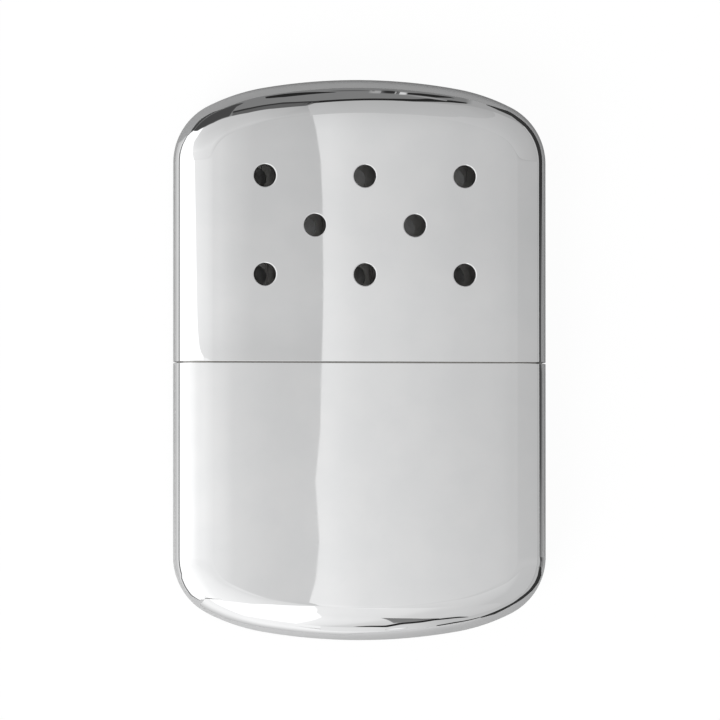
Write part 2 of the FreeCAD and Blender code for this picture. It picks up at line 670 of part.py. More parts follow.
def make_vapour_screen(doc):
    """The perforated plate under the window, which lets the vapour up and keeps the cotton down."""
    body = new_body(doc, "vapour_screen", "sizes.burner_seat")
    section = section_sketch(body, "section")
    draw_slot(section, "screen", "sizes.screen_width", "sizes.screen_thickness")
    extrude("Pad", section, "plate", "sizes.screen_plate", "down")
    hole = section_sketch(body, "hole_section")
    place_x = "-(sizes.screen_holes_across - 1) * sizes.screen_hole_pitch / 2"
    place_z = "-(sizes.screen_rows - 1) * sizes.screen_hole_pitch / 2"
    centre = V(hole.evalExpression(place_x), hole.evalExpression(place_z), 0)
    radius = hole.evalExpression("sizes.screen_hole_diameter") / 2
    hole.addGeometry(Part.Circle(centre, V(0, 0, 1), radius), False)
    bind(hole, "across", place_x, "DistanceX", -1, 1, 0, 3)
    bind(hole, "through", place_z, "DistanceY", -1, 1, 0, 3)
    bind(hole, "diameter", "sizes.screen_hole_diameter", "Diameter", 0)
    first = extrude("Pocket", hole, "first_hole", "sizes.screen_plate", "down")
    grid = body.newObject("PartDesign::MultiTransform", "hole_grid")
    rows = (("X_Axis", "sizes.screen_holes_across"), ("Z_Axis", "sizes.screen_rows"))
    grid.Originals = [first]
    grid.Transformations = [add_row_to_grid(body, grid, *row, "sizes.screen_hole_pitch") for row in rows]
    body.Tip = grid
    doc.recompute()


def add_row_to_grid(body, grid, axis_role, count, pitch):
    """One direction of a grid of holes."""
    row = body.newObject("PartDesign::LinearPattern", "grid_" + axis_role)
    axis = next(axis for axis in body.Origin.OriginFeatures if axis.Role == axis_role)
    row.Direction = (axis, [""])
    row.setExpression("Occurrences", count)
    row.setExpression("Length", f"({count} - 1) * {pitch}")
    return row


def make_screen_frame(doc):
    """The ring welded under the screen, which holds it against the skirt's plate."""
    body = new_body(doc, "screen_frame", "sizes.burner_seat - sizes.screen_plate")
    section = section_sketch(body, "section")
    draw_slot(section, "outer", "sizes.screen_width", "sizes.screen_thickness")
    draw_slot(section, "inner", "sizes.screen_width - 2 * sizes.frame_rim",
              "sizes.screen_thickness - 2 * sizes.frame_rim")
    extrude("Pad", section, "ring", "sizes.frame_plate", "down")


# The whole


def check(doc):
    """Stop with a plain message if any object failed or any sub-part isn't one sound solid."""
    for item in doc.Objects:
        if "Invalid" in item.State or "Error" in item.State:
            raise RuntimeError(f"{item.Label}: {item.State}")
    for body in doc.findObjects("PartDesign::Body"):
        if body.Shape.isNull() or not body.Shape.isValid():
            raise RuntimeError(f"{body.Label}: no valid shape")


def main():
    doc = FreeCAD.newDocument("hand_warmer")
    write_sheet(doc)
    make_tank_shell(doc)
    make_tank_collar(doc)
    make_collar_solder(doc)
    make_filler_neck(doc)
    make_neck_solder(doc)
    make_cotton_wads(doc)
    make_cotton_mouth_plug(doc)
    make_burner_skirt(doc)
    make_vapour_screen(doc)
    make_screen_frame(doc)
    make_catalyst_cloth(doc)
    make_catalyst_mat(doc)
    make_burner_cage(doc)
    make_lid_shell(doc)
    doc.recompute()
    check(doc)
    os.makedirs(PARTS_FOLDER, exist_ok=True)
    for body in doc.findObjects("PartDesign::Body"):
        body.Shape.exportStep(os.path.join(PARTS_FOLDER, body.Label + ".step"))
        print(f"{body.Label}: {body.Shape.Volume:.1f} mm3")


main()
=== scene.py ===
"""The looks of the catalytic hand warmer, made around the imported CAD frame.

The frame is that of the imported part: X across the case, Y towards the crown of the lid, Z out of
the front face. The object lies on its back, and the photograph is taken from above. Shapes are
worked out in millimetres and become metres when their mesh is made.
"""

import math
import random

import bpy
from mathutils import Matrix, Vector, noise
from mathutils.geometry import delaunay_2d_cdt


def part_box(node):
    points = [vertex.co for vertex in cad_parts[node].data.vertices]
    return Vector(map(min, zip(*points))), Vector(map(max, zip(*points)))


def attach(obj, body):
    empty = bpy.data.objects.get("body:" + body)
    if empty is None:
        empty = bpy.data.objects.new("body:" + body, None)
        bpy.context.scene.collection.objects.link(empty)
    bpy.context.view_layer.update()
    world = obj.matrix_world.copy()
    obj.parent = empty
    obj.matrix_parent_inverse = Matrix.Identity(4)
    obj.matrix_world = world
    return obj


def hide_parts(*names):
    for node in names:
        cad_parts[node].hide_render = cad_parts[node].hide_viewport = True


MM = 0.001

# The case, as in the CAD source.
HALF_WIDTH = 33.5
HALF_LENGTH = 50.15
THICKNESS = 14.0
MIDDLE = THICKNESS / 2
WALL = 0.45
EDGE_RADIUS = 6.2
FLAT = HALF_WIDTH - EDGE_RADIUS
HALF_LAND = MIDDLE - EDGE_RADIUS
CROWN_RADIUS = 101.6
CROWN_HALF_CHORD = 17.4
SHOULDER_RADIUS = 35.25
CORNER_RADIUS = 11.35
LID_RIM = -0.45
TANK_RIM = 0.65  # in the tank's own sense, with its crown towards +Y
VENT_RADIUS = 1.95
VENT_PITCH = 18.0
VENT_ROWS = ((15.1, 3), (23.9, 2), (32.7, 3))


# --- Meshes ---


class Skin:
    """Gathers faces with a normal for each corner. Points at one place become one vertex."""

    def __init__(self, turn=False):
        self.sign = -1 if turn else 1
        self.points = []
        self.index = {}
        self.faces = []
        self.normals = []
        self.slots = []

    def vertex(self, point):
        key = tuple(round(c * 1e4) for c in point)
        if key not in self.index:
            self.index[key] = len(self.points)
            x, y, z = point
            self.points.append((self.sign * x * MM, self.sign * y * MM, z * MM))
        return self.index[key]

    def face(self, points, normals, slot):
        """Adds a face that looks along its normals. Corners that fall together become one."""
        corners, bends, kept = [], [], []
        for point, normal in zip(points, normals):
            vertex = self.vertex(point)
            if vertex not in corners:
                x, y, z = normal
                corners.append(vertex)
                bends.append((self.sign * x, self.sign * y, z))
                kept.append((Vector(point), Vector(normal)))
        if len(corners) < 3:
            return
        across = (kept[1][0] - kept[0][0]).cross(kept[-1][0] - kept[1][0])
        if across.dot(sum((n for _, n in kept), Vector())) < 0:
            corners.reverse()
            bends.reverse()
        self.faces.append(corners)
        self.normals.extend(bends)
        self.slots.append(slot)

    def grid(self, rows, slot):
        """Adds the faces between neighbouring rows of (point, normal)."""
        for here, there in zip(rows, rows[1:]):
            for j in range(len(here) - 1):
                self.face(*zip(here[j], there[j], there[j + 1], here[j + 1]), slot)

    def make(self, name, materials):
        made = add_mesh(name, self.points, self.faces, materials)
        made.data.polygons.foreach_set("material_index", self.slots)
        made.data.normals_split_custom_set(self.normals)
        made.data.update()
        return made


def add_object(name, data):
    made = bpy.data.objects.new(name, data)
    bpy.context.scene.collection.objects.link(made)
    return made


def add_mesh(name, points, faces, materials, smooth=True):
    """An object of faces between points in metres."""
    mesh = bpy.data.meshes.new(name)
    mesh.from_pydata(points, [], faces)
    for material in materials:
        mesh.materials.append(material)
    mesh.polygons.foreach_set("use_smooth", [smooth] * len(faces))
    mesh.update()
    return add_object(name, mesh)


def steps(start, end, count):
    return [start + (end - start) * i / count for i in range(count + 1)]


def quarter(count):
    return [math.radians(90 * i / count) for i in range(count + 1)]


# --- The two cups of the case ---

# A cup's material slots.
CHROME, INNER = 0, 1
# Steps along a straight side, along each arc from there to the crown, across a flat face at the
# mouth, and round a vent.
SIDE_STEPS = 10
ARC_STEPS = (30, 16, 10)
FACE_STEPS = 24
VENT_STEPS = 64
# Angles round the case's edge, and round the small lips of the rims and vents.
ROLL = quarter(28)
LIP = quarter(5)
# Across the edge from the front face to the back face: (angle from the face, side of the middle).
ACROSS = [(a, 1) for a in ROLL] + [(a, -1) for a in reversed(ROLL)]
# Once round a vent and back to the start: (cosine, sine).
AROUND = [(math.cos(a), math.sin(a)) for a in steps(0, 2 * math.pi, VENT_STEPS)]
# Millimetres: the size of a flat face's triangles, the lips' radii, and the heights of the skin's
# rows above its rim, up to where the outline's stations begin.
FACE_GRID = 2.3
VENT_LIP = 0.26
RIM_LIP = 0.11
RIM_ZONE = 9.0
RIM_HEIGHTS = [RIM_LIP, *steps(0.2, 1.3, 11), *steps(1.5, 5, 14), 5.6, 6.3, 7, 8, RIM_ZONE]
VENTS = [((i - (count - 1) / 2) * VENT_PITCH, y) for y, count in VENT_ROWS for i in range(count)]


def outline_arcs():
    """The arcs of a quarter of the outline, from the side to the crown:
    (centre x, centre y, radius, first direction, last direction)."""
    corner_x = HALF_WIDTH - CORNER_RADIUS
    crown_y = HALF_LENGTH - CROWN_RADIUS
    tilt = math.asin(CROWN_HALF_CHORD / CROWN_RADIUS)
    reach = CROWN_RADIUS - SHOULDER_RADIUS
    shoulder_x = reach * math.sin(tilt)
    shoulder_y = crown_y + reach * math.cos(tilt)
    gap = SHOULDER_RADIUS - CORNER_RADIUS
    corner_y = shoulder_y + math.sqrt(gap**2 - (corner_x - shoulder_x) ** 2)
    turn = math.atan2(corner_y - shoulder_y, corner_x - shoulder_x)
    top = math.pi / 2
    return (
        (corner_x, corner_y, CORNER_RADIUS, 0, turn),
        (shoulder_x, shoulder_y, SHOULDER_RADIUS, turn, top - tilt),
        (0, crown_y, CROWN_RADIUS, top - tilt, top),
    )


def outline_stations(start):
    """Stations along a cup's outline from the left of its mouth round the crown to the right:
    (centre x, centre y, radius, direction x, direction y). On the straight sides the radius runs
    from the middle line."""
    arcs = outline_arcs()
    right = [(0, y, HALF_WIDTH, 1, 0) for y in steps(start, arcs[0][1], SIDE_STEPS)[:-1]]
    for (cx, cy, radius, first, last), count in zip(arcs, ARC_STEPS):
        right += [
            (cx, cy, radius, math.cos(a), math.sin(a)) for a in steps(first, last, count)[:-1]
        ]
    left = [(-cx, cy, r, -ux, uy) for cx, cy, r, ux, uy in right]
    cx, cy, radius = arcs[-1][:3]
    return left + [(cx, cy, radius, 0, 1)] + right[::-1]


def band_point(station, angle, side, depth):
    """A point on the cup's rounded side, with its normal. depth is how far below the skin."""
    cx, cy, radius, ux, uy = station
    reach = radius - EDGE_RADIUS + EDGE_RADIUS * math.sin(angle)
    normal = (ux * math.sin(angle), uy * math.sin(angle), side * math.cos(angle))
    height = MIDDLE + side * (HALF_LAND + EDGE_RADIUS * math.cos(angle))
    point = (cx + ux * reach, cy + uy * reach, height)
    return tuple(p - depth * n for p, n in zip(point, normal)), normal


def mouth_loop():
    """The cup's section at its mouth, once round and back to the start: (x, z, normal x,
    normal z)."""
    loop = [(x, THICKNESS, 0, 1) for x in steps(-FLAT, FLAT, FACE_STEPS)]
    for side, z_side, turn in ((1, 1, 1), (1, -1, -1), (-1, -1, 1), (-1, 1, -1)):
        for angle in ROLL[::turn]:
            s, c = math.sin(angle), math.cos(angle)
            x = side * (FLAT + EDGE_RADIUS * s)
            z = MIDDLE + z_side * (HALF_LAND + EDGE_RADIUS * c)
            loop.append((x, z, side * s, z_side * c))
        if (side, z_side) == (1, -1):
            loop += [(x, 0, 0, -1) for x in steps(FLAT, -FLAT, FACE_STEPS)]
    return loop + loop[:1]


def rim_profile():
    """Across the wall at the mouth, from inside to outside: segments of (depth, height, normal
    outwards, normal along)."""
    inner = [(WALL, RIM_ZONE, -1, 0), (WALL, 0, -1, 0)]
    foot = [(WALL, 0, 0, -1), (RIM_LIP, 0, 0, -1)]
    lip = [
        (RIM_LIP * (1 - math.cos(a)), RIM_LIP * (1 - math.sin(a)), math.cos(a), -math.sin(a))
        for a in reversed(LIP)
    ]
    outer = [(0, height, 1, 0) for height in RIM_HEIGHTS]
    return inner, foot, lip, outer


def sweep_rim(skin, rim):
    loop = mouth_loop()
    for segment, slot in zip(rim_profile(), (INNER, INNER, CHROME, CHROME)):
        rows = [
            [
                ((x - depth * nx, rim + height, z - depth * nz), (out * nx, along, out * nz))
                for x, z, nx, nz in loop
            ]
            for depth, height, out, along in segment
        ]
        skin.grid(rows, slot)


def sweep_band(skin, stations):
    for depth, facing, slot in ((0, 1, CHROME), (WALL, -1, INNER)):
        rows = []
        for station in stations:
            row = [band_point(station, angle, side, depth) for angle, side in ACROSS]
            rows.append([(point, tuple(facing * n for n in normal)) for point, normal in row])
        skin.grid(rows, slot)


def fill_face(skin, outline, holes, radius, height, up, slot):
    """A flat face at a height, with round holes of a radius, in even triangles."""
    points = list(outline)
    edges = ring_edges(0, len(outline))
    for x, y in holes:
        edges += ring_edges(len(points), VENT_STEPS)
        points += [(x + radius * c, y + radius * s) for c, s in AROUND[:-1]]
    xs, ys = [x for x, _ in outline], [y for _, y in outline]
    for i in range(int((max(xs) - min(xs)) / FACE_GRID)):
        for j in range(int((max(ys) - min(ys)) / FACE_GRID)):
            x = min(xs) + (i + 0.5) * FACE_GRID
            y = min(ys) + (j + 0.5 + 0.5 * (i % 2)) * FACE_GRID
            nearest = min(math.dist((x, y), point) for point in points[: len(outline)])
            in_hole = any(math.dist((x, y), hole) < radius + 0.5 * FACE_GRID for hole in holes)
            if nearest > 0.6 * FACE_GRID and inside(x, y, outline) and not in_hole:
                points.append((x, y))
    flat, _, triangles, *_ = delaunay_2d_cdt([Vector(p) for p in points], edges, [], 0, 1e-6)
    for triangle in triangles:
        corners = [flat[i] for i in triangle]
        middle = sum(corners, Vector((0, 0))) / 3
        if all(math.dist(middle, hole) > radius for hole in holes):
            skin.face([(p.x, p.y, height) for p in corners], [(0, 0, up)] * 3, slot)


def ring_edges(first, count):
    return [(first + i, first + (i + 1) % count) for i in range(count)]


def inside(x, y, outline):
    """Whether a point is within a convex outline that runs either way round."""
    turns = [
        (bx - ax) * (y - ay) - (by - ay) * (x - ax)
        for (ax, ay), (bx, by) in zip(outline, outline[1:] + outline[:1])
    ]
    return min(turns) > 0 or max(turns) < 0


def bore_vent(skin, cx, cy, side):
    """A punched hole: the skin rolls into it, and the bore goes through the wall."""
    face = MIDDLE + side * MIDDLE
    rings = [
        (VENT_RADIUS + VENT_LIP * (1 - math.sin(a)), VENT_LIP * (1 - math.cos(a)),
         -math.sin(a), math.cos(a))
        for a in LIP
    ]
    rows = [
        [
            ((cx + radius * c, cy + radius * s, face - side * drop), (out * c, out * s, side * up))
            for c, s in AROUND
        ]
        for radius, drop, out, up in rings + [(VENT_RADIUS, WALL, -1, 0)]
    ]
    skin.grid(rows[:-1], CHROME)
    skin.grid(rows[-2:], INNER)


def make_cup(name, rim, vents, materials, turn):
    """One drawn cup with its crown towards +Y, or turned half round about Z."""
    skin = Skin(turn)
    stations = outline_stations(rim + RIM_ZONE)
    sweep_rim(skin, rim)
    sweep_band(skin, stations)
    mouth = [(x, rim + RIM_ZONE) for x in steps(FLAT, -FLAT, FACE_STEPS)[1:-1]]
    outline = [band_point(s, 0, 1, 0)[0][:2] for s in stations] + mouth
    for side in (1, -1):
        outside = MIDDLE + side * MIDDLE
        fill_face(skin, outline, vents, VENT_RADIUS + VENT_LIP, outside, side, CHROME)
        fill_face(skin, outline, vents, VENT_RADIUS, outside - side * WALL, -side, INNER)
        for x, y in vents:
            bore_vent(skin, x, y, side)
    return skin.make(name, materials)


# --- Materials ---


class Paint:
    """The node tree of a material or of the world, built by short calls. Where a call takes a
    value, it is a number, a colour or another node's output."""

    def __init__(self, name, shader="BsdfPrincipled", kind="Material"):
        blocks = bpy.data.worlds if kind == "World" else bpy.data.materials
        self.block = blocks.new(name)
        self.block.use_nodes = True
        self.tree = self.block.node_tree
        self.tree.nodes.clear()
        self.shader = self.add(shader)
        self.add("Output" + kind, {"Surface": self.shader.outputs[0]})
        self.place = self.add("TexCoord").outputs["Object"]

    def add(self, kind, sockets=None, **settings):
        node = self.tree.nodes.new("ShaderNode" + kind)
        for key, value in settings.items():
            setattr(node, key, value)
        for key, value in (sockets or {}).items():
            self.feed(node.inputs[key], value)
        return node

    def feed(self, socket, value):
        if isinstance(value, (int, float, tuple)):
            socket.default_value = value
        else:
            self.tree.links.new(value, socket)

    def set(self, **values):
        """Values of the shader's own sockets; _ stands for a space."""
        for key, value in values.items():
            self.feed(self.shader.inputs[key.replace("_", " ")], value)

    def over(self, fac, below, above):
        """For a Mix Shader: one shader over another by fac."""
        for socket, value in zip(self.shader.inputs, (fac, below.outputs[0], above.outputs[0])):
            self.feed(socket, value)

    def noise(self, scale, detail=4, rough=0.5, distortion=0):
        """Noise over the object's own coordinates, with scale features a metre on each axis."""
        wide = scale if isinstance(scale, tuple) else (scale,) * 3
        spot = self.add("Mapping", {"Vector": self.place, "Scale": wide}).outputs["Vector"]
        sockets = {"Vector": spot, "Scale": 1, "Detail": detail, "Roughness": rough}
        return self.add("TexNoise", {**sockets, "Distortion": distortion}).outputs["Fac"]

    def ramp(self, source, stops):
        """Stops of (position, grey or colour)."""
        node = self.add("ValToRGB", {"Fac": source})
        elements = node.color_ramp.elements
        while len(elements) < len(stops):
            elements.new(0.5)
        for element, (position, value) in zip(elements, stops):
            colour = value if isinstance(value, tuple) else (value,) * 3
            element.position = position
            element.color = (*colour, 1)
        return node.outputs["Color"]

    def span(self, source, low, high, start=0.3, end=0.7):
        """source from start to end, as a number from low to high."""
        ends = {"From Min": start, "From Max": end, "To Min": low, "To Max": high}
        return self.add("MapRange", {"Value": source, **ends}).outputs["Result"]

    def math(self, operation, a, b):
        return self.add("Math", {0: a, 1: b}, operation=operation).outputs["Value"]

    def mix(self, fac, a, b):
        """Colour b over colour a by fac."""
        return self.add("Mix", {0: fac, 6: a, 7: b}, data_type="RGBA").outputs[2]

    def axis(self, name):
        """One of the object's coordinates, in metres."""
        return self.add("SeparateXYZ", {"Vector": self.place}).outputs[name]

    def attribute(self, name):
        return self.add("Attribute", attribute_name=name).outputs["Fac"]

    def openness(self, reach):
        """1 in the open, and down to 0 where things stand close, within a reach in metres."""
        return self.add("AmbientOcclusion", {"Distance": reach}, samples=8).outputs["AO"]

    def rays(self, *kinds):
        """1 for the named kinds of ray, 0 for the others."""
        path = self.add("LightPath")
        total = path.outputs[kinds[0]]
        for kind in kinds[1:]:
            total = self.math("MAXIMUM", total, path.outputs[kind])
        return total

    def finished(self, colour, rough, *bumps, **values):
        """Sets what every surface has. bumps are layers of (height, distance in metres), one over
        the other."""
        sockets = {"Strength": 1}
        for height, distance in bumps:
            sockets.update({"Height": height, "Distance": distance})
            sockets["Normal"] = self.add("Bump", sockets).outputs["Normal"]
        self.set(Base_Color=colour, Roughness=rough, Normal=sockets["Normal"], **values)
        return self.block


def chrome_paint(name, brushing):
    """Polished chrome plate: slow waves from the drawing of the sheet, and faint brushing."""
    p = Paint(name)
    haze = p.noise(160)
    plate = p.ramp(haze, [(0.35, (0.885, 0.89, 0.895)), (0.65, (0.91, 0.912, 0.915))])
    lines = p.noise((60, 9000, 9000), detail=2)
    smears = p.noise((220, 420, 420), detail=5, rough=0.6)
    rough = p.math("ADD", p.span(smears, 0.004, 0.016), p.span(lines, 0, 0.012 * brushing))
    waves = p.noise((38, 17, 38), detail=1)
    return p.finished(plate, rough, (waves, 3e-5), (lines, 2.5e-8 * brushing), Metallic=1)


# How close the sides of a gap stand for its painted shade to show, in metres.
GAP_SHADE_REACH = 0.0006


def gap_shaded(p, colour):
    """A colour with painted shade: it darkens where a gap is narrow and closed in."""
    gap_shade = p.span(p.openness(GAP_SHADE_REACH), 0.85, 0, 0.1, 0.7)
    return p.mix(gap_shade, colour, (0.05, 0.045, 0.04, 1))


def inner_chrome_paint():
    """The inside of the case: thin plate on drawn steel, duller than the outside."""
    p = Paint("case_inside")
    stain = p.noise(180, detail=5, rough=0.6)
    plate = p.ramp(stain, [(0.35, (0.6, 0.595, 0.58)), (0.7, (0.74, 0.735, 0.72))])
    draw_lines = p.noise((1600, 60, 1600), detail=3)
    rough = p.span(draw_lines, 0.26, 0.42)
    bumps = ((draw_lines, 2.5e-6), (p.noise(2600, detail=3), 2e-6))
    # The plate gets painted shade in its narrow gaps.
    return p.finished(gap_shaded(p, plate), rough, *bumps, Metallic=1)


def nickel_paint():
    """The collar and the neck: nickel plate, rubbed along the lid's way on and off."""
    p = Paint("inner_nickel")
    rub = p.noise((1500, 45, 1500), rough=0.65)
    tone = p.noise(230)
    warm = p.ramp(tone, [(0.3, (0.7, 0.675, 0.62)), (0.7, (0.8, 0.785, 0.745))])
    rubbed = p.mix(p.span(rub, 0, 0.35, 0.45, 0.75), warm, (0.88, 0.87, 0.85, 1))
    bumps = ((rub, 4e-6), (p.noise(900, detail=2), 2.5e-6))
    # The nickel gets painted shade in its narrow gaps.
    return p.finished(gap_shaded(p, rubbed), p.span(rub, 0.12, 0.3), *bumps, Metallic=1)


# Where along Y the burner's heat tint begins and is full, in metres, and its colours.
HEAT_START, HEAT_END = 0.0085, 0.0125
HEAT_TINT = [
    (0, (0.66, 0.655, 0.64)), (0.45, (0.66, 0.64, 0.59)), (0.75, (0.62, 0.54, 0.41)),
    (1, (0.46, 0.38, 0.33)),
]


def burner_paint():
    """Pressed steel, satin plate, tinted straw and brown by heat next to the catalyst."""
    p = Paint("burner_steel")
    grain = p.noise((260, 2600, 2600), rough=0.6)
    patch = p.noise(330, detail=5, rough=0.6)
    near = p.span(p.axis("Y"), 0, 1, HEAT_START, HEAT_END)
    tint = p.ramp(p.math("ADD", near, p.span(patch, -0.35, 0.35)), HEAT_TINT)
    steel = p.mix(p.span(grain, 0, 0.22), tint, (0.42, 0.41, 0.4, 1))
    bumps = ((grain, 5e-6), (p.noise(4200, detail=2), 2e-6))
    return p.finished(steel, p.span(grain, 0.24, 0.4), *bumps, Metallic=1)


def screen_paint():
    """Perforated plate with a matt grain and dark specks."""
    p = Paint("screen_steel")
    grain = p.noise((3000, 600, 600))
    plate = p.ramp(grain, [(0.3, (0.42, 0.41, 0.395)), (0.7, (0.58, 0.57, 0.55))])
    return p.finished(plate, p.span(grain, 0.32, 0.5), (grain, 5e-6), Metallic=1)


def solder_paint():
    """Dull tin solder, rippled where it froze, with flux stains."""
    p = Paint("solder")
    ripple = p.noise((420, 900, 420), distortion=0.6)
    grey = p.ramp(ripple, [(0.3, (0.52, 0.52, 0.53)), (0.7, (0.68, 0.68, 0.675))])
    stain = p.span(p.noise(170), 0, 0.45, 0.5, 0.75)
    stained = p.mix(stain, grey, (0.4, 0.35, 0.27, 1))
    bumps = ((ripple, 4e-5), (p.noise(3500, detail=2), 6e-6))
    return p.finished(stained, p.span(ripple, 0.34, 0.55), *bumps, Metallic=1)


def cotton_paint():
    """Absorbent cotton: warm white fibre in tufts."""
    p = Paint("cotton")
    tufts = p.noise(420, rough=0.6)
    fibres = p.noise((5200, 900, 5200), rough=0.7, distortion=1.5)
    cream = p.ramp(tufts, [(0.3, (0.8, 0.775, 0.715)), (0.65, (0.93, 0.92, 0.885))])
    white = p.mix(p.span(fibres, 0, 0.3, 0.5, 0.75), cream, (0.97, 0.965, 0.94, 1))
    p.set(Sheen_Weight=0.35, Sheen_Roughness=0.5, Sheen_Tint=(1, 0.99, 0.96, 1))
    return p.finished(white, 0.95, (tufts, 3e-4), (fibres, 1.2e-4))


def glass_cloth_paint():
    """Woven glass yarn: pale, with each yarn's fine strands."""
    p = Paint("glass_cloth")
    strands = p.noise((9000, 700, 9000), detail=3)
    pale = p.ramp(strands, [(0.3, (0.74, 0.725, 0.66)), (0.7, (0.88, 0.875, 0.83))])
    return p.finished(pale, 0.5, (strands, 3e-5), Sheen_Weight=0.2)


def catalyst_paint():
    """Matted glass fibre, grey with platinum, paler where fibres stand out."""
    p = Paint("platinum_mat")
    lumps = p.noise(700, detail=5, rough=0.65)
    fibres = p.noise((6500, 1500, 6500), rough=0.7, distortion=2)
    grey = p.ramp(lumps, [(0.3, (0.17, 0.165, 0.16)), (0.7, (0.38, 0.37, 0.355))])
    pale = p.mix(p.span(fibres, 0, 0.6, 0.5, 0.8), grey, (0.6, 0.59, 0.57, 1))
    return p.finished(pale, 0.85, (lumps, 2e-4), (fibres, 1e-4), Sheen_Weight=0.25)


# --- Soft pieces ---

# How sharply a wad's noise turns into lumps, and how much thinner a strand's ends are.
TUFT_CONTRAST = 1.6
STRAND_TIP = 0.35
# A loose fibre: its points, and the millimetres from one to the next.
FIBRE_POINTS = 9
FIBRE_STEP = 0.42
# The catalyst cloth's yarn, its points to a pitch, and how far its ends and its sides stay inside
# the cloth's box.
YARN_PITCH = 0.72
YARN_RADIUS = 0.17
YARN_KNOTS = 6
YARN_END = 0.05
YARN_GAP = 0.01


def remeshed(node, voxel):
    """A copy of a CAD solid's shape, as an even mesh with faces of about a voxel."""
    copy = add_object("soft_copy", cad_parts[node].data.copy())
    even = copy.modifiers.new("even", "REMESH")
    even.mode = "VOXEL"
    even.voxel_size = voxel * MM
    graph = bpy.context.evaluated_depsgraph_get()
    mesh = bpy.data.meshes.new_from_object(copy.evaluated_get(graph))
    bpy.data.objects.remove(copy)
    return mesh


def tufted(node, voxel, tufts, material):
    """A wad of loose fibre in the room of a CAD solid. tufts are (size, depth) of its lumps in
    millimetres: they only go inwards, so the wad stays clear of what is round it."""
    mesh = remeshed(node, voxel)
    moves = []
    for vertex in mesh.vertices:
        depth = 0
        for size, most in tufts:
            value = noise.noise(vertex.co / (size * MM))
            depth += most * MM * (0.5 - 0.5 * max(-1, min(1, TUFT_CONTRAST * value)))
        moves.append(vertex.co - vertex.normal * depth)
    for vertex, place in zip(mesh.vertices, moves):
        vertex.co = place
    mesh.materials.clear()
    mesh.materials.append(material)
    mesh.polygons.foreach_set("use_smooth", [True] * len(mesh.polygons))
    mesh.update()
    return add_object(node + "_fibre", mesh)


def strand(points, faces, path, radius):
    """A three-sided tube along a path."""
    first = len(points)
    for i, place in enumerate(path):
        along = path[min(i + 1, len(path) - 1)] - path[max(i - 1, 0)]
        side = along.orthogonal().normalized()
        other = along.cross(side).normalized()
        taper = radius * (STRAND_TIP if i in (0, len(path) - 1) else 1)
        for k in range(3):
            a = 2 * math.pi * k / 3
            points.append(place + (side * math.cos(a) + other * math.sin(a)) * taper)
    for i in range(len(path) - 1):
        for k in range(3):
            a, b = first + 3 * i + k, first + 3 * i + (k + 1) % 3
            faces.append((a, b, b + 3, a + 3))
    last = first + 3 * (len(path) - 1)
    faces.append((first + 2, first + 1, first))
    faces.append((last, last + 1, last + 2))


def loose_fibres(name, node, inset, depths, count, radius, material, seed):
    """Fine curled fibres on a node's +Y side: inset from its box along X and Z, and from one depth
    to the other, all in millimetres."""
    box_low, box_high = (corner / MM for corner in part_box(node))
    low = (box_low.x + inset[0], box_high.y - depths[0], box_low.z + inset[1])
    high = (box_high.x - inset[0], box_high.y - depths[1], box_high.z - inset[1])
    draw = random.Random(seed)
    points, faces = [], []
    for _ in range(count):
        place = Vector([draw.uniform(a, b) for a, b in zip(low, high)])
        heading = draw.uniform(0, 2 * math.pi)
        turn = draw.uniform(-0.5, 0.5)
        path = []
        for _ in range(FIBRE_POINTS):
            path.append(place.copy())
            step = Vector((math.cos(heading), draw.uniform(-0.25, 0.25), math.sin(heading)))
            place += step * FIBRE_STEP
            place = Vector([min(max(p, a), b) for p, a, b in zip(place, low, high)])
            heading += turn + draw.uniform(-0.3, 0.3)
        strand(points, faces, path, radius)
    return add_mesh(name, [tuple(p * MM) for p in points], faces, [material])


def woven_cloth(node, material):
    """Plain weave in the room of the CAD cloth: warp along X, weft along Z."""
    low, high = (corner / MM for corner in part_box(node))
    middle = (low.y + high.y) / 2
    swing = (high.y - low.y) / 2 - YARN_RADIUS - YARN_GAP
    points, faces = [], []
    for along, over, shift in ((0, 2, 0), (2, 0, 1)):
        count = int((high[over] - low[over] - 2 * YARN_RADIUS) / YARN_PITCH)
        first = (low[over] + high[over]) / 2 - count * YARN_PITCH / 2
        reach = high[along] - low[along] - 2 * YARN_END
        knots = max(8, int(reach / YARN_PITCH * YARN_KNOTS))
        for n in range(count + 1):
            phase = math.pi * (n + shift)
            path = []
            for a in steps(low[along] + YARN_END, high[along] - YARN_END, knots):
                place = Vector((0, 0, 0))
                place[along] = a
                place[over] = first + n * YARN_PITCH
                place.y = middle + swing * math.sin(math.pi * a / YARN_PITCH + phase)
                path.append(place)
            strand(points, faces, path, YARN_RADIUS)
    return add_mesh(node + "_weave", [tuple(p * MM) for p in points], faces, [material])


# --- The object ---

WADS = [
    "cotton_wad_" + place
    for place in ("upper_left", "upper_right", "lower_left", "lower_right", "bottom")
]
# The remesh's voxel, and (size, depth) of the lumps, in millimetres.
WAD = (0.55, ((5, 0.9), (1.5, 0.35)))
PLUG = (0.3, ((2.6, 0.75), (0.8, 0.3)))
MAT = (0.22, ((1.8, 0.35), (0.55, 0.16)))


def dress_case(chrome_lid, chrome_tank, inside):
    lid = make_cup("lid_skin", LID_RIM, VENTS, [chrome_lid, inside], False)
    tank = make_cup("tank_skin", TANK_RIM, [], [chrome_tank, inside], True)
    for skin, body, node in ((lid, "lid", "lid_shell"), (tank, "tank", "tank_shell")):
        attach(skin, body)
        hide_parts(node)


def dress_nodes(paints):
    """Better materials on the CAD nodes that stay."""
    for material, nodes in paints:
        for node in nodes:
            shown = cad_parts[node].data
            shown.materials.clear()
            shown.materials.append(material)


def dress_cotton(cotton):
    for node, cut in [(node, WAD) for node in WADS] + [("cotton_mouth_plug", PLUG)]:
        wad = tufted(node, *cut, cotton)
        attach(wad, "tank")
        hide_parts(node)
    fibres = loose_fibres(
        "cotton_mouth_fibres", "cotton_mouth_plug", (2.2, 0.5), (0.55, 0.03),
        420, 0.018, cotton, 11,
    )
    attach(fibres, "tank")


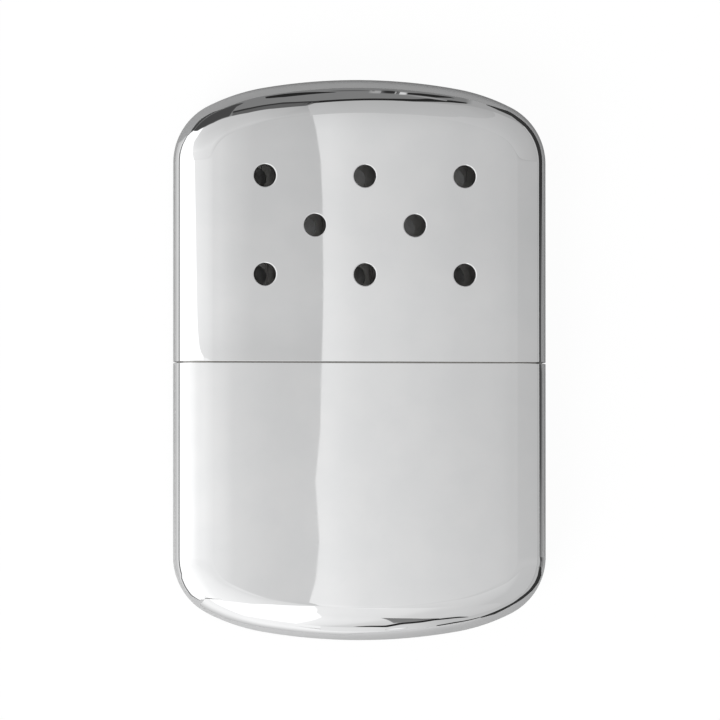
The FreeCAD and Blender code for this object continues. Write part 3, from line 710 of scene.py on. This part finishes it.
def dress_catalyst(glass, platinum):
    cloth = woven_cloth("catalyst_cloth", glass)
    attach(cloth, "burner")
    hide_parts("catalyst_cloth")
    mat = tufted("catalyst_mat", *MAT, platinum)
    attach(mat, "burner")
    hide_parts("catalyst_mat")
    fibres = loose_fibres(
        "catalyst_fibres", "catalyst_mat", (2.4, 0.6), (0.3, 0.02), 320, 0.014, platinum, 12
    )
    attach(fibres, "burner")


# --- The studio ---

# The camera looks down on the front face, a little from the left and from below.
CAMERA_DISTANCE = 1.6
CAMERA_LEFT = math.radians(7.9)
CAMERA_DOWN = math.radians(1.33)
FRAME_WIDTH = 0.12898
SENSOR = 36.0
AIM = (0.00005, 0, 0.007)

# The tent's sheets, bent round the long axis.
TENT_RADIUS = 0.35
TENT_ROWS = 90
TENT_COLUMNS = 60
# Cards that follow the outline: steps a degree, and in millimetres how far out the walls stand and
# how thick a layer of cards is, on a wall and on the floor.
CARD_STEPS = 2
WALL_OFFSET = 80.0
WALL_LAYER = 0.1
FLOOR_LAYER = 0.03
# The share of a card that its long edges and its ends take to thin out.
VEIL_EDGE = 0.1
VEIL_END = 0.03
# The floor's half side and its level, and how near a piece has to be to shut out its glow.
FLOOR_REACH = 4.0
FLOOR_LEVEL = -0.0001
SHADE_REACH = 0.05


def place_camera():
    data = bpy.data.cameras.new("camera")
    data.sensor_width = SENSOR
    data.lens = SENSOR * CAMERA_DISTANCE / FRAME_WIDTH
    data.clip_start = 0.05
    data.clip_end = 20
    camera = add_object("camera", data)
    level = math.cos(CAMERA_DOWN)
    back = Vector(
        (-math.sin(CAMERA_LEFT) * level, -math.sin(CAMERA_DOWN), math.cos(CAMERA_LEFT) * level)
    )
    camera.location = Vector(AIM) + back * CAMERA_DISTANCE
    # The picture's upright is the case's long axis.
    right = Vector((0, 1, 0)).cross(back).normalized()
    up = back.cross(right)
    camera.rotation_mode = "QUATERNION"
    matrix = camera.matrix_world.to_3x3()
    matrix.col[0], matrix.col[1], matrix.col[2] = right, up, back
    camera.rotation_quaternion = matrix.to_quaternion()
    bpy.context.scene.camera = camera


def white_world(seen, given):
    """White to the camera and in metal and glass, and a plain level of light on everything."""
    p = Paint("studio", "MixShader", "World")
    lit, shown = (
        p.add("Background", {"Color": (1, 1, 1, 1), "Strength": strength})
        for strength in (given, seen)
    )
    p.over(p.rays("Is Camera Ray", "Is Glossy Ray", "Is Transmission Ray"), lit, shown)
    bpy.context.scene.world = p.block


def floor_material():
    """A pale floor that takes the light and the shadow, and is near white to the camera. Close to
    a piece, where the floor is closed in, it is only lit. In the metal its tone is painted: grey,
    and darker towards +X and +Y, a painted shadow in the reflection."""
    p = Paint("floor", "MixShader")
    # Painted shadow in reflections: the floor's tone for mirror rays falls towards +X and +Y.
    slope = p.math("ADD", p.axis("X"), p.axis("Y"))
    reflected_floor_shade = p.ramp(
        p.span(slope, 0, 1, -0.075, 0.055),
        [(0, 0.6), (0.13, 0.515), (0.25, 0.455), (0.45, 0.415), (0.67, 0.355), (1, 0.315)],
    )
    tone = p.mix(p.rays("Is Glossy Ray"), (0.8, 0.8, 0.8, 1), reflected_floor_shade)
    open_part = p.span(p.openness(SHADE_REACH), 0, 1, 0.15, 0.42)
    camera = p.math("MULTIPLY", p.rays("Is Camera Ray"), 0.93)
    others = p.math("MULTIPLY", p.rays("Is Glossy Ray", "Is Transmission Ray"), 0.05)
    p.over(
        p.math("MULTIPLY", open_part, p.math("MAXIMUM", camera, others)),
        p.add("BsdfDiffuse", {"Color": tone}),
        p.add("Emission", {"Strength": 1.02}),
    )
    return p.block


def make_floor():
    corners = ((-1, -1), (1, -1), (1, 1), (-1, 1))
    points = [(FLOOR_REACH * x, FLOOR_REACH * y, FLOOR_LEVEL) for x, y in corners]
    add_mesh("floor", points, [(0, 1, 2, 3)], [floor_material()], smooth=False)


def card(name, points, faces, material):
    """A glowing card of the studio that lights nothing and casts no shadow. It only shows as a
    reflection: a painted reflection in the metal.
    """
    made = add_mesh(name, points, faces, [material], smooth=False)
    made.visible_camera = made.visible_diffuse = made.visible_shadow = False
    return made


def glow(name, strength):
    """One glowing tone, for a card of painted reflection."""
    p = Paint(name, "Emission")
    p.set(Strength=strength)
    return p.block


def faded(name, stops, axis="across"):
    """Tones from one edge of a card to the other, or from its first end to its last."""
    p = Paint(name, "Emission")
    p.set(Color=p.ramp(p.attribute(axis), stops))
    return p.block


def veil(name, tone, foot=VEIL_EDGE):
    """A card's tone that thins out to nothing at the card's edges."""
    p = Paint(name, "MixShader")
    shares = []
    for axis, low, high in (("across", foot, VEIL_EDGE), ("along", VEIL_END, VEIL_END)):
        at = p.attribute(axis)
        start = p.span(at, 0, 1, 0, low) if low else 1
        shares.append(p.math("MULTIPLY", start, p.span(at, 1, 0, 1 - high, 1)))
    p.over(
        p.math("MULTIPLY", *shares),
        p.add("BsdfTransparent"),
        p.add("Emission", {"Strength": tone}),
    )
    return p.block


def soft_spot(name, tone, ground):
    """A tone in the middle of a card that melts into the ground's tone at its edges."""
    p = Paint(name, "Emission")
    humps = []
    for axis in ("across", "along"):
        at = p.attribute(axis)
        humps.append(p.math("MULTIPLY", at, p.math("SUBTRACT", 4, p.math("MULTIPLY", at, 4))))
    p.set(Color=p.ramp(p.math("MULTIPLY", *humps), [(0, ground), (0.8, tone), (1, tone)]))
    return p.block


def tent_material(name, across, along):
    """Tones of a sheet bent round the long axis: across in degrees from upright, and a share of
    them along Y in millimetres."""
    p = Paint(name, "Emission")
    angle = p.math("ARCTAN2", p.axis("X"), p.axis("Z"))
    tones = []
    for source, unit, table in ((angle, math.radians(1), across), (p.axis("Y"), MM, along)):
        low, high = table[0][0], table[-1][0]
        fac = p.span(source, 0, 1, low * unit, high * unit)
        tones.append(p.ramp(fac, [((at - low) / (high - low), tone / 100) for at, tone in table]))
    p.set(Color=tones[0], Strength=tones[1])
    return p.block


def between(table, at):
    """The value at a place, from a table of (place, value) in rising order. A plain number is the
    value everywhere."""
    if isinstance(table, (int, float)):
        return table
    if at <= table[0][0]:
        return table[0][1]
    for (a, low), (b, high) in zip(table, table[1:]):
        if at <= b:
            return low + (high - low) * (at - a) / (b - a)
    return table[-1][1]


def lattice(rows, columns):
    """The faces between points that are listed row by row."""
    wide = columns + 1
    firsts = [wide * i + j for i in range(rows) for j in range(columns)]
    return [(k, k + 1, k + wide + 1, k + wide) for k in firsts]


def tent_sheet(name, start, end, low, high, material):
    """A sheet of the tent from one angle to another, each in degrees or a table along Y."""
    points = []
    for y in steps(low, high, TENT_ROWS):
        ends = [math.radians(between(edge, y)) for edge in (start, end)]
        for a in steps(*ends, TENT_COLUMNS):
            points.append((TENT_RADIUS * math.sin(a), y * MM, TENT_RADIUS * math.cos(a)))
    card(name, points, lattice(TENT_ROWS, TENT_COLUMNS), material)


def outline_at(direction):
    """(centre x, centre y, radius, direction x, direction y) of the outline's arc that faces a
    direction, in degrees from +X."""
    a = math.radians(direction)
    ux, uy = math.cos(a), math.sin(a)
    for cx, cy, radius, first, last in outline_arcs():
        if first <= math.atan2(abs(uy), abs(ux)) <= last + 1e-9:
            return cx * math.copysign(1, ux), cy * math.copysign(1, uy), radius, ux, uy
    raise ValueError(direction)


def ring_card(name, inner, outer, material):
    """A card that follows the case's outline. Each of its edges is (offset, height) in
    millimetres, both plain numbers or tables by direction, in degrees from +X. The first table
    says where the card ends."""
    tables = [value for value in inner + outer if not isinstance(value, (int, float))]
    first, last = tables[0][0][0], tables[0][-1][0]
    points = []
    count = max(1, int(CARD_STEPS * (last - first)))
    for direction in steps(first, last, count):
        cx, cy, radius, ux, uy = outline_at(direction)
        for edge in (inner, outer):
            offset, height = (between(value, direction) for value in edge)
            reach = radius + offset
            points.append(((cx + ux * reach) * MM, (cy + uy * reach) * MM, height * MM))
    made = card(name, points, lattice(count, 1), material)
    for axis, values in (
        ("across", [0, 1] * (count + 1)),
        ("along", [i // 2 / count for i in range(2 * count + 2)]),
    ):
        made.data.attributes.new(axis, "FLOAT", "POINT").data.foreach_set("value", values)


def wall_card(name, low, high, material, layer=0):
    """A card that stands round the case between two heights. A higher layer is in front."""
    offset = WALL_OFFSET - WALL_LAYER * layer
    ring_card(name, (offset, low), (offset, high), material)


def floor_card(name, near, far, material, layer=1):
    """A card that lies round the case between two offsets. A higher layer is on top."""
    height = layer * FLOOR_LAYER
    ring_card(name, (near, height), (far, height), material)


def pair(*rows):
    """The tables of a card's two edges, from rows of (direction, one edge, other edge)."""
    return [row[:2] for row in rows], [row[::2] for row in rows]


def raised(table, rise):
    return [(direction, height + rise) for direction, height in table]


def make_key_light(place, size, power):
    data = bpy.data.lights.new("key_light", "AREA")
    data.shape = "SQUARE"
    data.size = size
    data.energy = power
    lamp = add_object("key_light", data)
    lamp.location = place
    lamp.rotation_mode = "QUATERNION"
    lamp.rotation_quaternion = Vector(place).to_track_quat("Z", "Y")
    lamp.visible_glossy = False


# The line where the left and the right sheets of the tent meet, in degrees by place along Y, and
# how it goes on below the tank.
STEP = (
    (-90, 5.5), (-44.5, 5.69), (-40, 5.9), (-31.5, 6.01), (-18.5, 5.87), (-7.7, 6.06), (42, 6.08),
    (50.8, 6.01), (57.3, 5.83), (62.7, 5.6), (81, 5.3), (142, 4.5), (212, 3.8), (296, 3.3),
    (460, 3), (1000, 2),
)
STEP_BELOW = ((-1800, 1), (-1065, 2.5), (-382, 4.8), (-243, 4.2), (-107, 5), (-90, 5.5))
# The far edges of the left sheets, and the edges between the right sheets.
LEFT_SIDE_EDGE = (
    (7.3, -3), (7.5, -16), (7.9, -25), (8.5, -32), (9.3, -38), (10.6, -42), (14, -46.5), (20, -49),
    (40, -54), (62, -60),
)
UPPER_EDGE = ((62, -60), (100, -65), (193, -71), (242, -67), (303, -66), (460, -64), (1000, -50))
LOWER_EDGE = ((-620, -74), (-547, -33), (-284, -6.6), (-175, 1.6), (-105, 5), (-90, 5.5))
RIGHT_UPPER_EDGE = ((62, 8.5), (88, 10.6), (175, 15.4), (355, 35.5), (700, 80))
RIGHT_LOWER_EDGE = (
    (-1800, 88), (-620, 80), (-503, 63), (-313, 25.5), (-175, 13.2), (-97, 8.5), (-90, 5.5),
)
# Tones across the sheets in percent, by degrees from upright.
LEFT_TOP = (
    (-71, 90), (-50, 82), (-41, 79), (-26, 75), (-12, 70), (-4, 64), (0, 59), (1.5, 56), (2.5, 53),
    (3.2, 49.5), (4.4, 47.5), (5.6, 46.5),
)
LEFT_RISE = (
    (-71, 95), (-54, 88.5), (-35, 84), (-20, 80), (-10, 78.5), (-5, 73), (-0.4, 65.5), (2.5, 61),
    (3.2, 58), (3.8, 55), (4.6, 52.5), (5.6, 51),
)
LEFT_UPPER = (
    (-51.4, 97.5), (-35, 93.5), (-19, 90), (-3, 84), (2.1, 80.5), (2.5, 79), (2.85, 72.3),
    (3.57, 64.2), (4.64, 63.4), (5.36, 61.3), (6.1, 59.8),
)
LEFT_LOWER = (
    (-75, 115), (-60, 108), (-50, 100), (-41.5, 96.5), (-26, 94.5), (-12.2, 90), (2.1, 86),
    (2.5, 83), (2.85, 74), (3.57, 70), (4.64, 65.5), (6.1, 65),
)
LEFT_BELOW = (
    (-75, 112), (-57, 105), (-40, 96.5), (-28, 94.5), (-12, 90), (-2.4, 85), (1.6, 80),
    (5.5, 77.5),
)
RIGHT_TOP = ((3, 56), (5, 56), (7.2, 52), (15, 52.5), (25, 53), (35, 51), (89, 47))
RIGHT_UPPER = ((8.5, 60), (15, 56.5), (28, 53), (45, 50.5), (66, 48.5), (89, 45.5))
RIGHT = (
    (5.3, 86), (6.41, 85), (6.77, 81.2), (7.49, 76.3), (8.93, 71.7), (10.35, 67.1), (11.08, 64),
    (11.8, 62.5), (12.54, 60), (12.8, 57.5), (15, 57), (20, 54), (39, 53.5), (89, 52),
)
RIGHT_LOWER = ((5.5, 86), (9, 77), (13, 70), (20, 66), (27, 63), (35, 58), (89, 55.5))
RIGHT_BELOW = (
    (4.2, 93), (7, 87), (9.5, 84), (13, 79), (16, 70), (20, 66), (33, 61), (60, 56.5), (89, 55),
)
# Shares of those tones along the sheets in percent, by place along Y.
ABOVE_LEFT = ((110, 110), (140, 102), (170, 97), (260, 88), (370, 84), (460, 82), (700, 78))
LEFT_UPPER_ALONG = (
    (7.3, 94), (10, 94.5), (13, 97), (18, 99.5), (21, 99.5), (30, 96.5), (44.3, 93.5), (54, 92),
    (57, 89.5), (60, 87), (62, 87),
)
LEFT_LOWER_ALONG = ((-90, 98.5), (-60, 99), (-42.4, 102), (-22.8, 102), (-8, 98.5), (7.3, 96))
BELOW_LEFT = ((-620, 108), (-300, 106), (-150, 103), (-90, 98.5))
ABOVE = ((62, 104), (110, 100), (240, 95), (300, 93), (460, 90), (700, 86))
RIGHT_ALONG = (
    (-90, 106), (-75, 109), (-60, 110), (-42.4, 107), (-22.8, 103), (-1.2, 100), (20.5, 100),
    (33.5, 95), (44.3, 94), (53, 94), (57, 92), (59.5, 87), (62, 79),
)
BELOW = ((-1800, 108), (-450, 105), (-300, 100), (-104, 100), (-90, 94))
EVEN = ((-1800, 100), (700, 100))


def make_tent():
    """Glowing sheets that stand for a tent of white cloth and give painted reflections in the
    metal:
    name, edges in degrees, reach along Y in millimetres, tones across and shares along."""
    for name, start, end, low, high, across, along in (
        ("left_top", UPPER_EDGE, STEP, 110, 1000, LEFT_TOP, ABOVE_LEFT),
        ("left_rise", UPPER_EDGE, STEP, 62, 110, LEFT_RISE, EVEN),
        ("left_upper", LEFT_SIDE_EDGE, STEP, 7.3, 62, LEFT_UPPER, LEFT_UPPER_ALONG),
        ("left_lower", -75, STEP, -90, 7.3, LEFT_LOWER, LEFT_LOWER_ALONG),
        ("left_below", -75, LOWER_EDGE, -620, -90, LEFT_BELOW, BELOW_LEFT),
        ("right_top", STEP, RIGHT_UPPER_EDGE, 62, 700, RIGHT_TOP, ABOVE),
        ("right_upper", RIGHT_UPPER_EDGE, 89, 62, 700, RIGHT_UPPER, EVEN),
        ("right", STEP, 89, -90, 62, RIGHT, RIGHT_ALONG),
        ("right_lower", RIGHT_LOWER_EDGE, 89, -620, -90, RIGHT_LOWER, EVEN),
        ("right_below", STEP_BELOW, RIGHT_LOWER_EDGE, -1800, -90, RIGHT_BELOW, BELOW),
    ):
        tent_sheet(name, start, end, low, high, tent_material(name, across, along))
    # A bright card below the tank, a painted reflection too.
    tent_sheet("box_below", LOWER_EDGE, STEP_BELOW, -1800, -105, glow("box_below", 1.2))


# The thin line that runs round the left side on the floor: (direction, offset of its far edge).
# It is thinner and paler past the turn.
LEFT_LINE = (
    (141, 80), (144, 45), (150, 27), (160, 20), (170, 17), (180, 16.5), (198, 16), (202, 11.8),
    (213, 11), (222, 12), (227.5, 17.5), (231, 22.5), (233.5, 55), (234.6, 80),
)
LEFT_LINE_TURN = 198


def make_left_side():
    """A bright box and a bright floor behind a thin line, and paler floor on this side of it. All
    are painted reflections, cards that glow and show only in the metal; the near floor darkens
    towards the case, a painted shadow.
    """
    # A painted reflection of a soft box: the card glows but lights nothing.
    bright = glow("soft_box", 1.25)
    corners = ((-0.6, 0), (0.5, 0), (0.5, 0.9), (-0.6, 0.9))
    card("left_box", [(-0.45, y, z) for y, z in corners], [(0, 1, 2, 3)], bright)
    floor_card("left_floor_box", LEFT_LINE, 420, bright)
    upper = [stop for stop in LEFT_LINE if stop[0] <= LEFT_LINE_TURN]
    lower = [stop for stop in LEFT_LINE if stop[0] >= LEFT_LINE_TURN]
    floor_card("left_line", raised(upper, -4.2), upper, glow("left_line", 0.12))
    floor_card("left_line_low", raised(lower, -3.4), lower, glow("left_line_low", 0.24))
    # Painted shadow in the reflection: floor cards darker near the case.
    floor_card(
        "left_floor_near",
        [(150, 20), (160, 4), (200, 3), (215, 4), (227.5, 12.5)],
        raised([stop for stop in LEFT_LINE if 150 <= stop[0] <= 227.5], -4),
        faded("near_card", [(0, 0.55), (0.5, 0.66), (1, 0.9)]),
    )
    near, far = pair((234.6, 7, 36), (250, 9, 42), (262, 16, 60), (270, 20, 79.5), (277, 79, 79.5))
    # Painted shadow in the reflection: the low floor darkens towards the case.
    tones = faded("low_card", [(0, 0.55), (0.25, 0.76), (0.55, 0.93), (1, 1)])
    floor_card("low_floor_near", near, far, tones)
    floor_card("low_floor_far", far[:-1], 3000, glow("low_floor", 1.02))
    dash = pair(
        (-125.8, 0, 9), (-124.5, 14, 21), (-122.7, 21, 27), (-117.5, 37.5, 40.5), (-111, 60, 61.5)
    )
    tones = faded("dash", [(0, 0.12), (0.4, 0.15), (1, 0.6)], "along")
    wall_card("left_dash", *dash, tones)


# Beyond the crown: tables of (direction, height).
TOP_RIM_LEFT = (
    (90.4, 129), (93.2, 117), (95, 107), (97.3, 101), (100.4, 93), (103, 83), (105.3, 75),
    (107.5, 69), (110.2, 61), (119, 57), (129.2, 43), (139.8, 20), (142, 2),
)
TOP_RIM_RIGHT = (
    (71.3, 31), (74.8, 43), (76.6, 54), (78.3, 66), (80.2, 79), (84.3, 92), (86.4, 98),
    (88.5, 103), (90.2, 105),
)
TOP_LINE_FOOT = (
    (71.3, 25.7), (75.1, 31), (77.1, 38.7), (79.1, 42), (80.7, 58.6), (83.1, 71), (84.8, 75),
    (86.8, 80), (89, 83), (91.4, 84),
)
TOP_BAND_FOOT = (
    (89.8, 87), (92.7, 75), (94.4, 65), (98, 60), (101.5, 54), (104.5, 48), (106.5, 42),
)
CORNER_RIM = ((40, 8), (62, 28), (68, 40), (72, 50), (76, 70), (82, 90))
TOP_TONE = 0.215


def make_top_wall(dark):
    """The dark room beyond the crown: a grey wall with black lines on it, and a wedge of shade at
    its left. These are painted reflections: cards that glow and show only in the metal."""
    rim = raised(TOP_RIM_RIGHT + TOP_RIM_LEFT, 3)
    wall_card("top_wall", [(70, 0), (142, 0)], rim, veil("grey_card", TOP_TONE, 0), -3)
    wall_card("corner_wall", 0, CORNER_RIM, veil("corner_card", 0.38, 0), -6)
    wall_card("top_line", raised(TOP_LINE_FOOT, -1), raised(TOP_RIM_RIGHT, 2), dark)
    wall_card("top_band", TOP_BAND_FOOT, raised(TOP_RIM_LEFT, 2), veil("band_card", 0.12))
    line = veil("band_line_card", 0.04)
    wall_card("top_band_line", raised(TOP_BAND_FOOT, -1), raised(TOP_BAND_FOOT, 11), line, 3)
    shade = veil("shade_card", 0.065)
    wedge_rim = [(102, 13), (105, 24), (106.5, 44)] + [p for p in TOP_RIM_LEFT if p[0] > 107]
    wall_card("wedge", [(102, 12), (105, 4), (109, 0), (142, 0)], wedge_rim, shade, 3)
    floor_card(
        "wedge_foot",
        [(109, 79), (113, 46), (127, 28), (142, 29), (147, 40)],
        [(109, 80), (141, 80), (147, 41)],
        shade,
    )
    wall_card(
        "streak_left",
        [(89.2, 27), (91.4, 16.6), (93, 11), (94.6, 6.5), (97.2, 7)],
        [(89.2, 29), (91.4, 31), (93, 32), (94.6, 31), (95.8, 25.6), (97.2, 19.5)],
        dark, 6,
    )
    wall_card(
        "streak_right",
        [(75, 13), (76, 8.6), (78.4, 11), (80.4, 13), (82, 19)],
        [(75, 14), (76, 18), (78.1, 31), (80.2, 31), (82, 30)],
        dark, 6,
    )
    # Painted highlights and painted shade in the reflection: soft spots and streaks on the grey
    # wall.
    for name, first, last, foot, top, tone in (
        ("faint_line", 85.2, 90.5, 14, 24, 0.12),
        ("dark_spot", 82.6, 84.8, 11, 36, 0.03),
        ("light_spot_left", 84.3, 85.9, 16, 38, 0.4),
        ("light_spot_right", 81.7, 83.2, 16, 37, 0.72),
        ("light_streak", 76, 82, 30, 42, 0.34),
    ):
        wall_card(name, [(first, foot), (last, foot)], top, soft_spot(name, tone, TOP_TONE), 5)


# The line's tones in percent beside the case's straight side, by place along Y: near the case and
# further out.
RIGHT_LINE_INNER = (
    (-34, 27), (-25, 23), (-21, 18), (-12, 14.5), (-1.5, 12.5), (0.5, 28), (9, 27), (16, 21),
    (23.5, 11.5), (27, 8), (30.5, 4.5), (33, 3.5),
)
RIGHT_LINE_OUTER = ((-34, 17), (-26, 14), (-22, 11), (-18, 5.5), (-1.5, 5), (10, 3.5))
# Where the line's lower part meets the lit floor: (direction, offset).
RIGHT_TURN = [(-33.5, 51), (-24.3, 34.5), (-17.3, 33.8)]


def make_right_lines():
    """The black line that runs round the right side, on the floor and up the walls' feet: painted
    reflections. The grey floor beyond it is a painted shadow in the metal.
    """
    dark = glow("right_line", 0.035)
    floor_card(
        "right_line_upper",
        [(-0.3, 18), (17, 16), (30, 17), (40, 20), (51, 25), (60, 23), (64, 40), (66, 62)],
        [(-0.3, 75), (30, 68), (34, 80), (50, 80), (66, 80)],
        dark,
    )
    # Painted shadow in the reflection: a grey floor card on the case's shadow side.
    floor_card(
        "right_floor",
        [(-60, 80.5), (-38, 80.5), *RIGHT_TURN, (-9, 42), (-4, 38), (-0.3, 47), (0, 75), (30, 68),
         (34, 80.5), (62, 80.5)],
        350,
        glow("right_floor", 0.5),
    )
    wall_card("right_line_high", 0, [(40, 2), (49, 6), (56, 2), (62, 6), (66, 2)], dark, 2)
    reach = outline_at(0.3)[1]
    for name, near, far, tones in (
        ("right_line_inner", 18, 30, RIGHT_LINE_INNER),
        ("right_line_outer", 30, 44, RIGHT_LINE_OUTER),
    ):
        stops = [((y + reach) / (2 * reach), tone / 100) for y, tone in tones]
        floor_card(name, [(-0.3, near), (0.3, near)], far, faded(name, stops, "along"), 2)
    tones = faded("side_line", [(0, 0.27), (0.25, 0.2), (0.42, 0.06), (1, 0.05)])
    floor_card("right_line_side", *pair((-4, 12, 38), (-0.3, 12, 47)), tones)
    tones = faded("turn_line", [(0, 0.27), (0.3, 0.22), (0.6, 0.11), (1, 0.11)])
    floor_card("right_line_turn", *pair((-9, 11, 42), (-4, 12, 38)), tones)
    floor_card(
        "right_line_lower",
        [(-67.4, 58), (-64.3, 36), (-54.5, 48.7), (-42.1, 29), (-31.6, 15), (-22.7, 9.5),
         (-16.2, 9), (-9, 18)],
        [(-67.4, 80), (-38, 80), *RIGHT_TURN, (-9, 60)],
        dark,
    )
    rim = [(-67.4, 5), (-62, 6), (-55.5, 8), (-44.5, 7), (-38, 0.5)]
    wall_card("right_line_low", 0, rim, dark, 2)


# Beyond the tank's end: tables of (direction, height).
BOTTOM_RIM = ((-91, 28), (-84, 30), (-80, 38), (-76, 40), (-70, 30), (-40, 20))
BOTTOM_WEDGE_RIM = ((-83, 103), (-81.2, 86), (-79.1, 67), (-76.6, 53))


def make_bottom_wall(dark):
    """Beyond the tank's end: a low grey wall with a black line on it that opens into a wedge. All
    are painted reflections, cards that glow and show only in the metal.
    """
    stops = [(0, 0.88), (0.13, 0.78), (0.22, 0.64), (0.29, 0.56), (1, 0.5)]
    wall_card("bottom_wall", 0, BOTTOM_RIM, faded("bottom_card", stops, "along"), -3)
    line = pair(
        (-87.5, 33, 35), (-85.6, 31.5, 41), (-84, 26, 39), (-82.2, 39.5, 53), (-80, 39, 52),
        (-77.9, 42.5, 54), (-75.2, 38, 49), (-73, 31.5, 41), (-70.7, 25.5, 27.5),
    )
    wall_card("bottom_line", *line, dark, 6)
    wall_card("bottom_wedge", 50, BOTTOM_WEDGE_RIM, veil("bottom_shade", 0.22), 4)
    line = veil("wedge_line", 0.1)
    wall_card("bottom_wedge_line", raised(BOTTOM_WEDGE_RIM, -6), BOTTOM_WEDGE_RIM, line, 5)
    line = pair((-78, 2.5, 10), (-75, 4, 13), (-67.4, 0.5, 6))
    wall_card("bottom_second_line", *line, dark, 5)
    # A painted highlight in the reflection: a bright soft spot on the wall.
    spot = pair((-84.2, 7, 15), (-81.8, 11, 20))
    wall_card("bottom_spot", *spot, soft_spot("bottom_spot", 1, 0.6), 7)


def make_studio():
    place_camera()
    white_world(seen=1, given=0.62)
    make_floor()
    make_key_light(place=(-0.9, -0.9, 1), size=0.8, power=17)
    make_tent()
    make_left_side()
    dark = veil("black_card", 0.02)
    make_top_wall(dark)
    make_right_lines()
    make_bottom_wall(dark)


# --- The scene ---


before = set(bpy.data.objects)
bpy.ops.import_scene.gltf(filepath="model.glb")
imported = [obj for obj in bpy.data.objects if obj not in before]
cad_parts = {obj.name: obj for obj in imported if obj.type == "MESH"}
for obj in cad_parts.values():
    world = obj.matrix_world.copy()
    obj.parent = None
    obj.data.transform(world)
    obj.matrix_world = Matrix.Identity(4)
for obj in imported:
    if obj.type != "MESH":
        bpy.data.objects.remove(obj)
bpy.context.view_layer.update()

lid_chrome, tank_chrome = chrome_paint("case_chrome_lid", 0.5), chrome_paint("case_chrome_tank", 1)
dress_case(lid_chrome, tank_chrome, inner_chrome_paint())
dress_nodes(
    (
        (nickel_paint(), ("tank_collar", "filler_neck")),
        (burner_paint(), ("burner_skirt", "burner_cage", "screen_frame")),
        (screen_paint(), ("vapour_screen",)),
        (solder_paint(), ("collar_solder", "neck_solder")),
    )
)
dress_cotton(cotton_paint())
dress_catalyst(glass_cloth_paint(), catalyst_paint())
make_studio()

bpy.context.scene.view_settings.view_transform = "Standard"
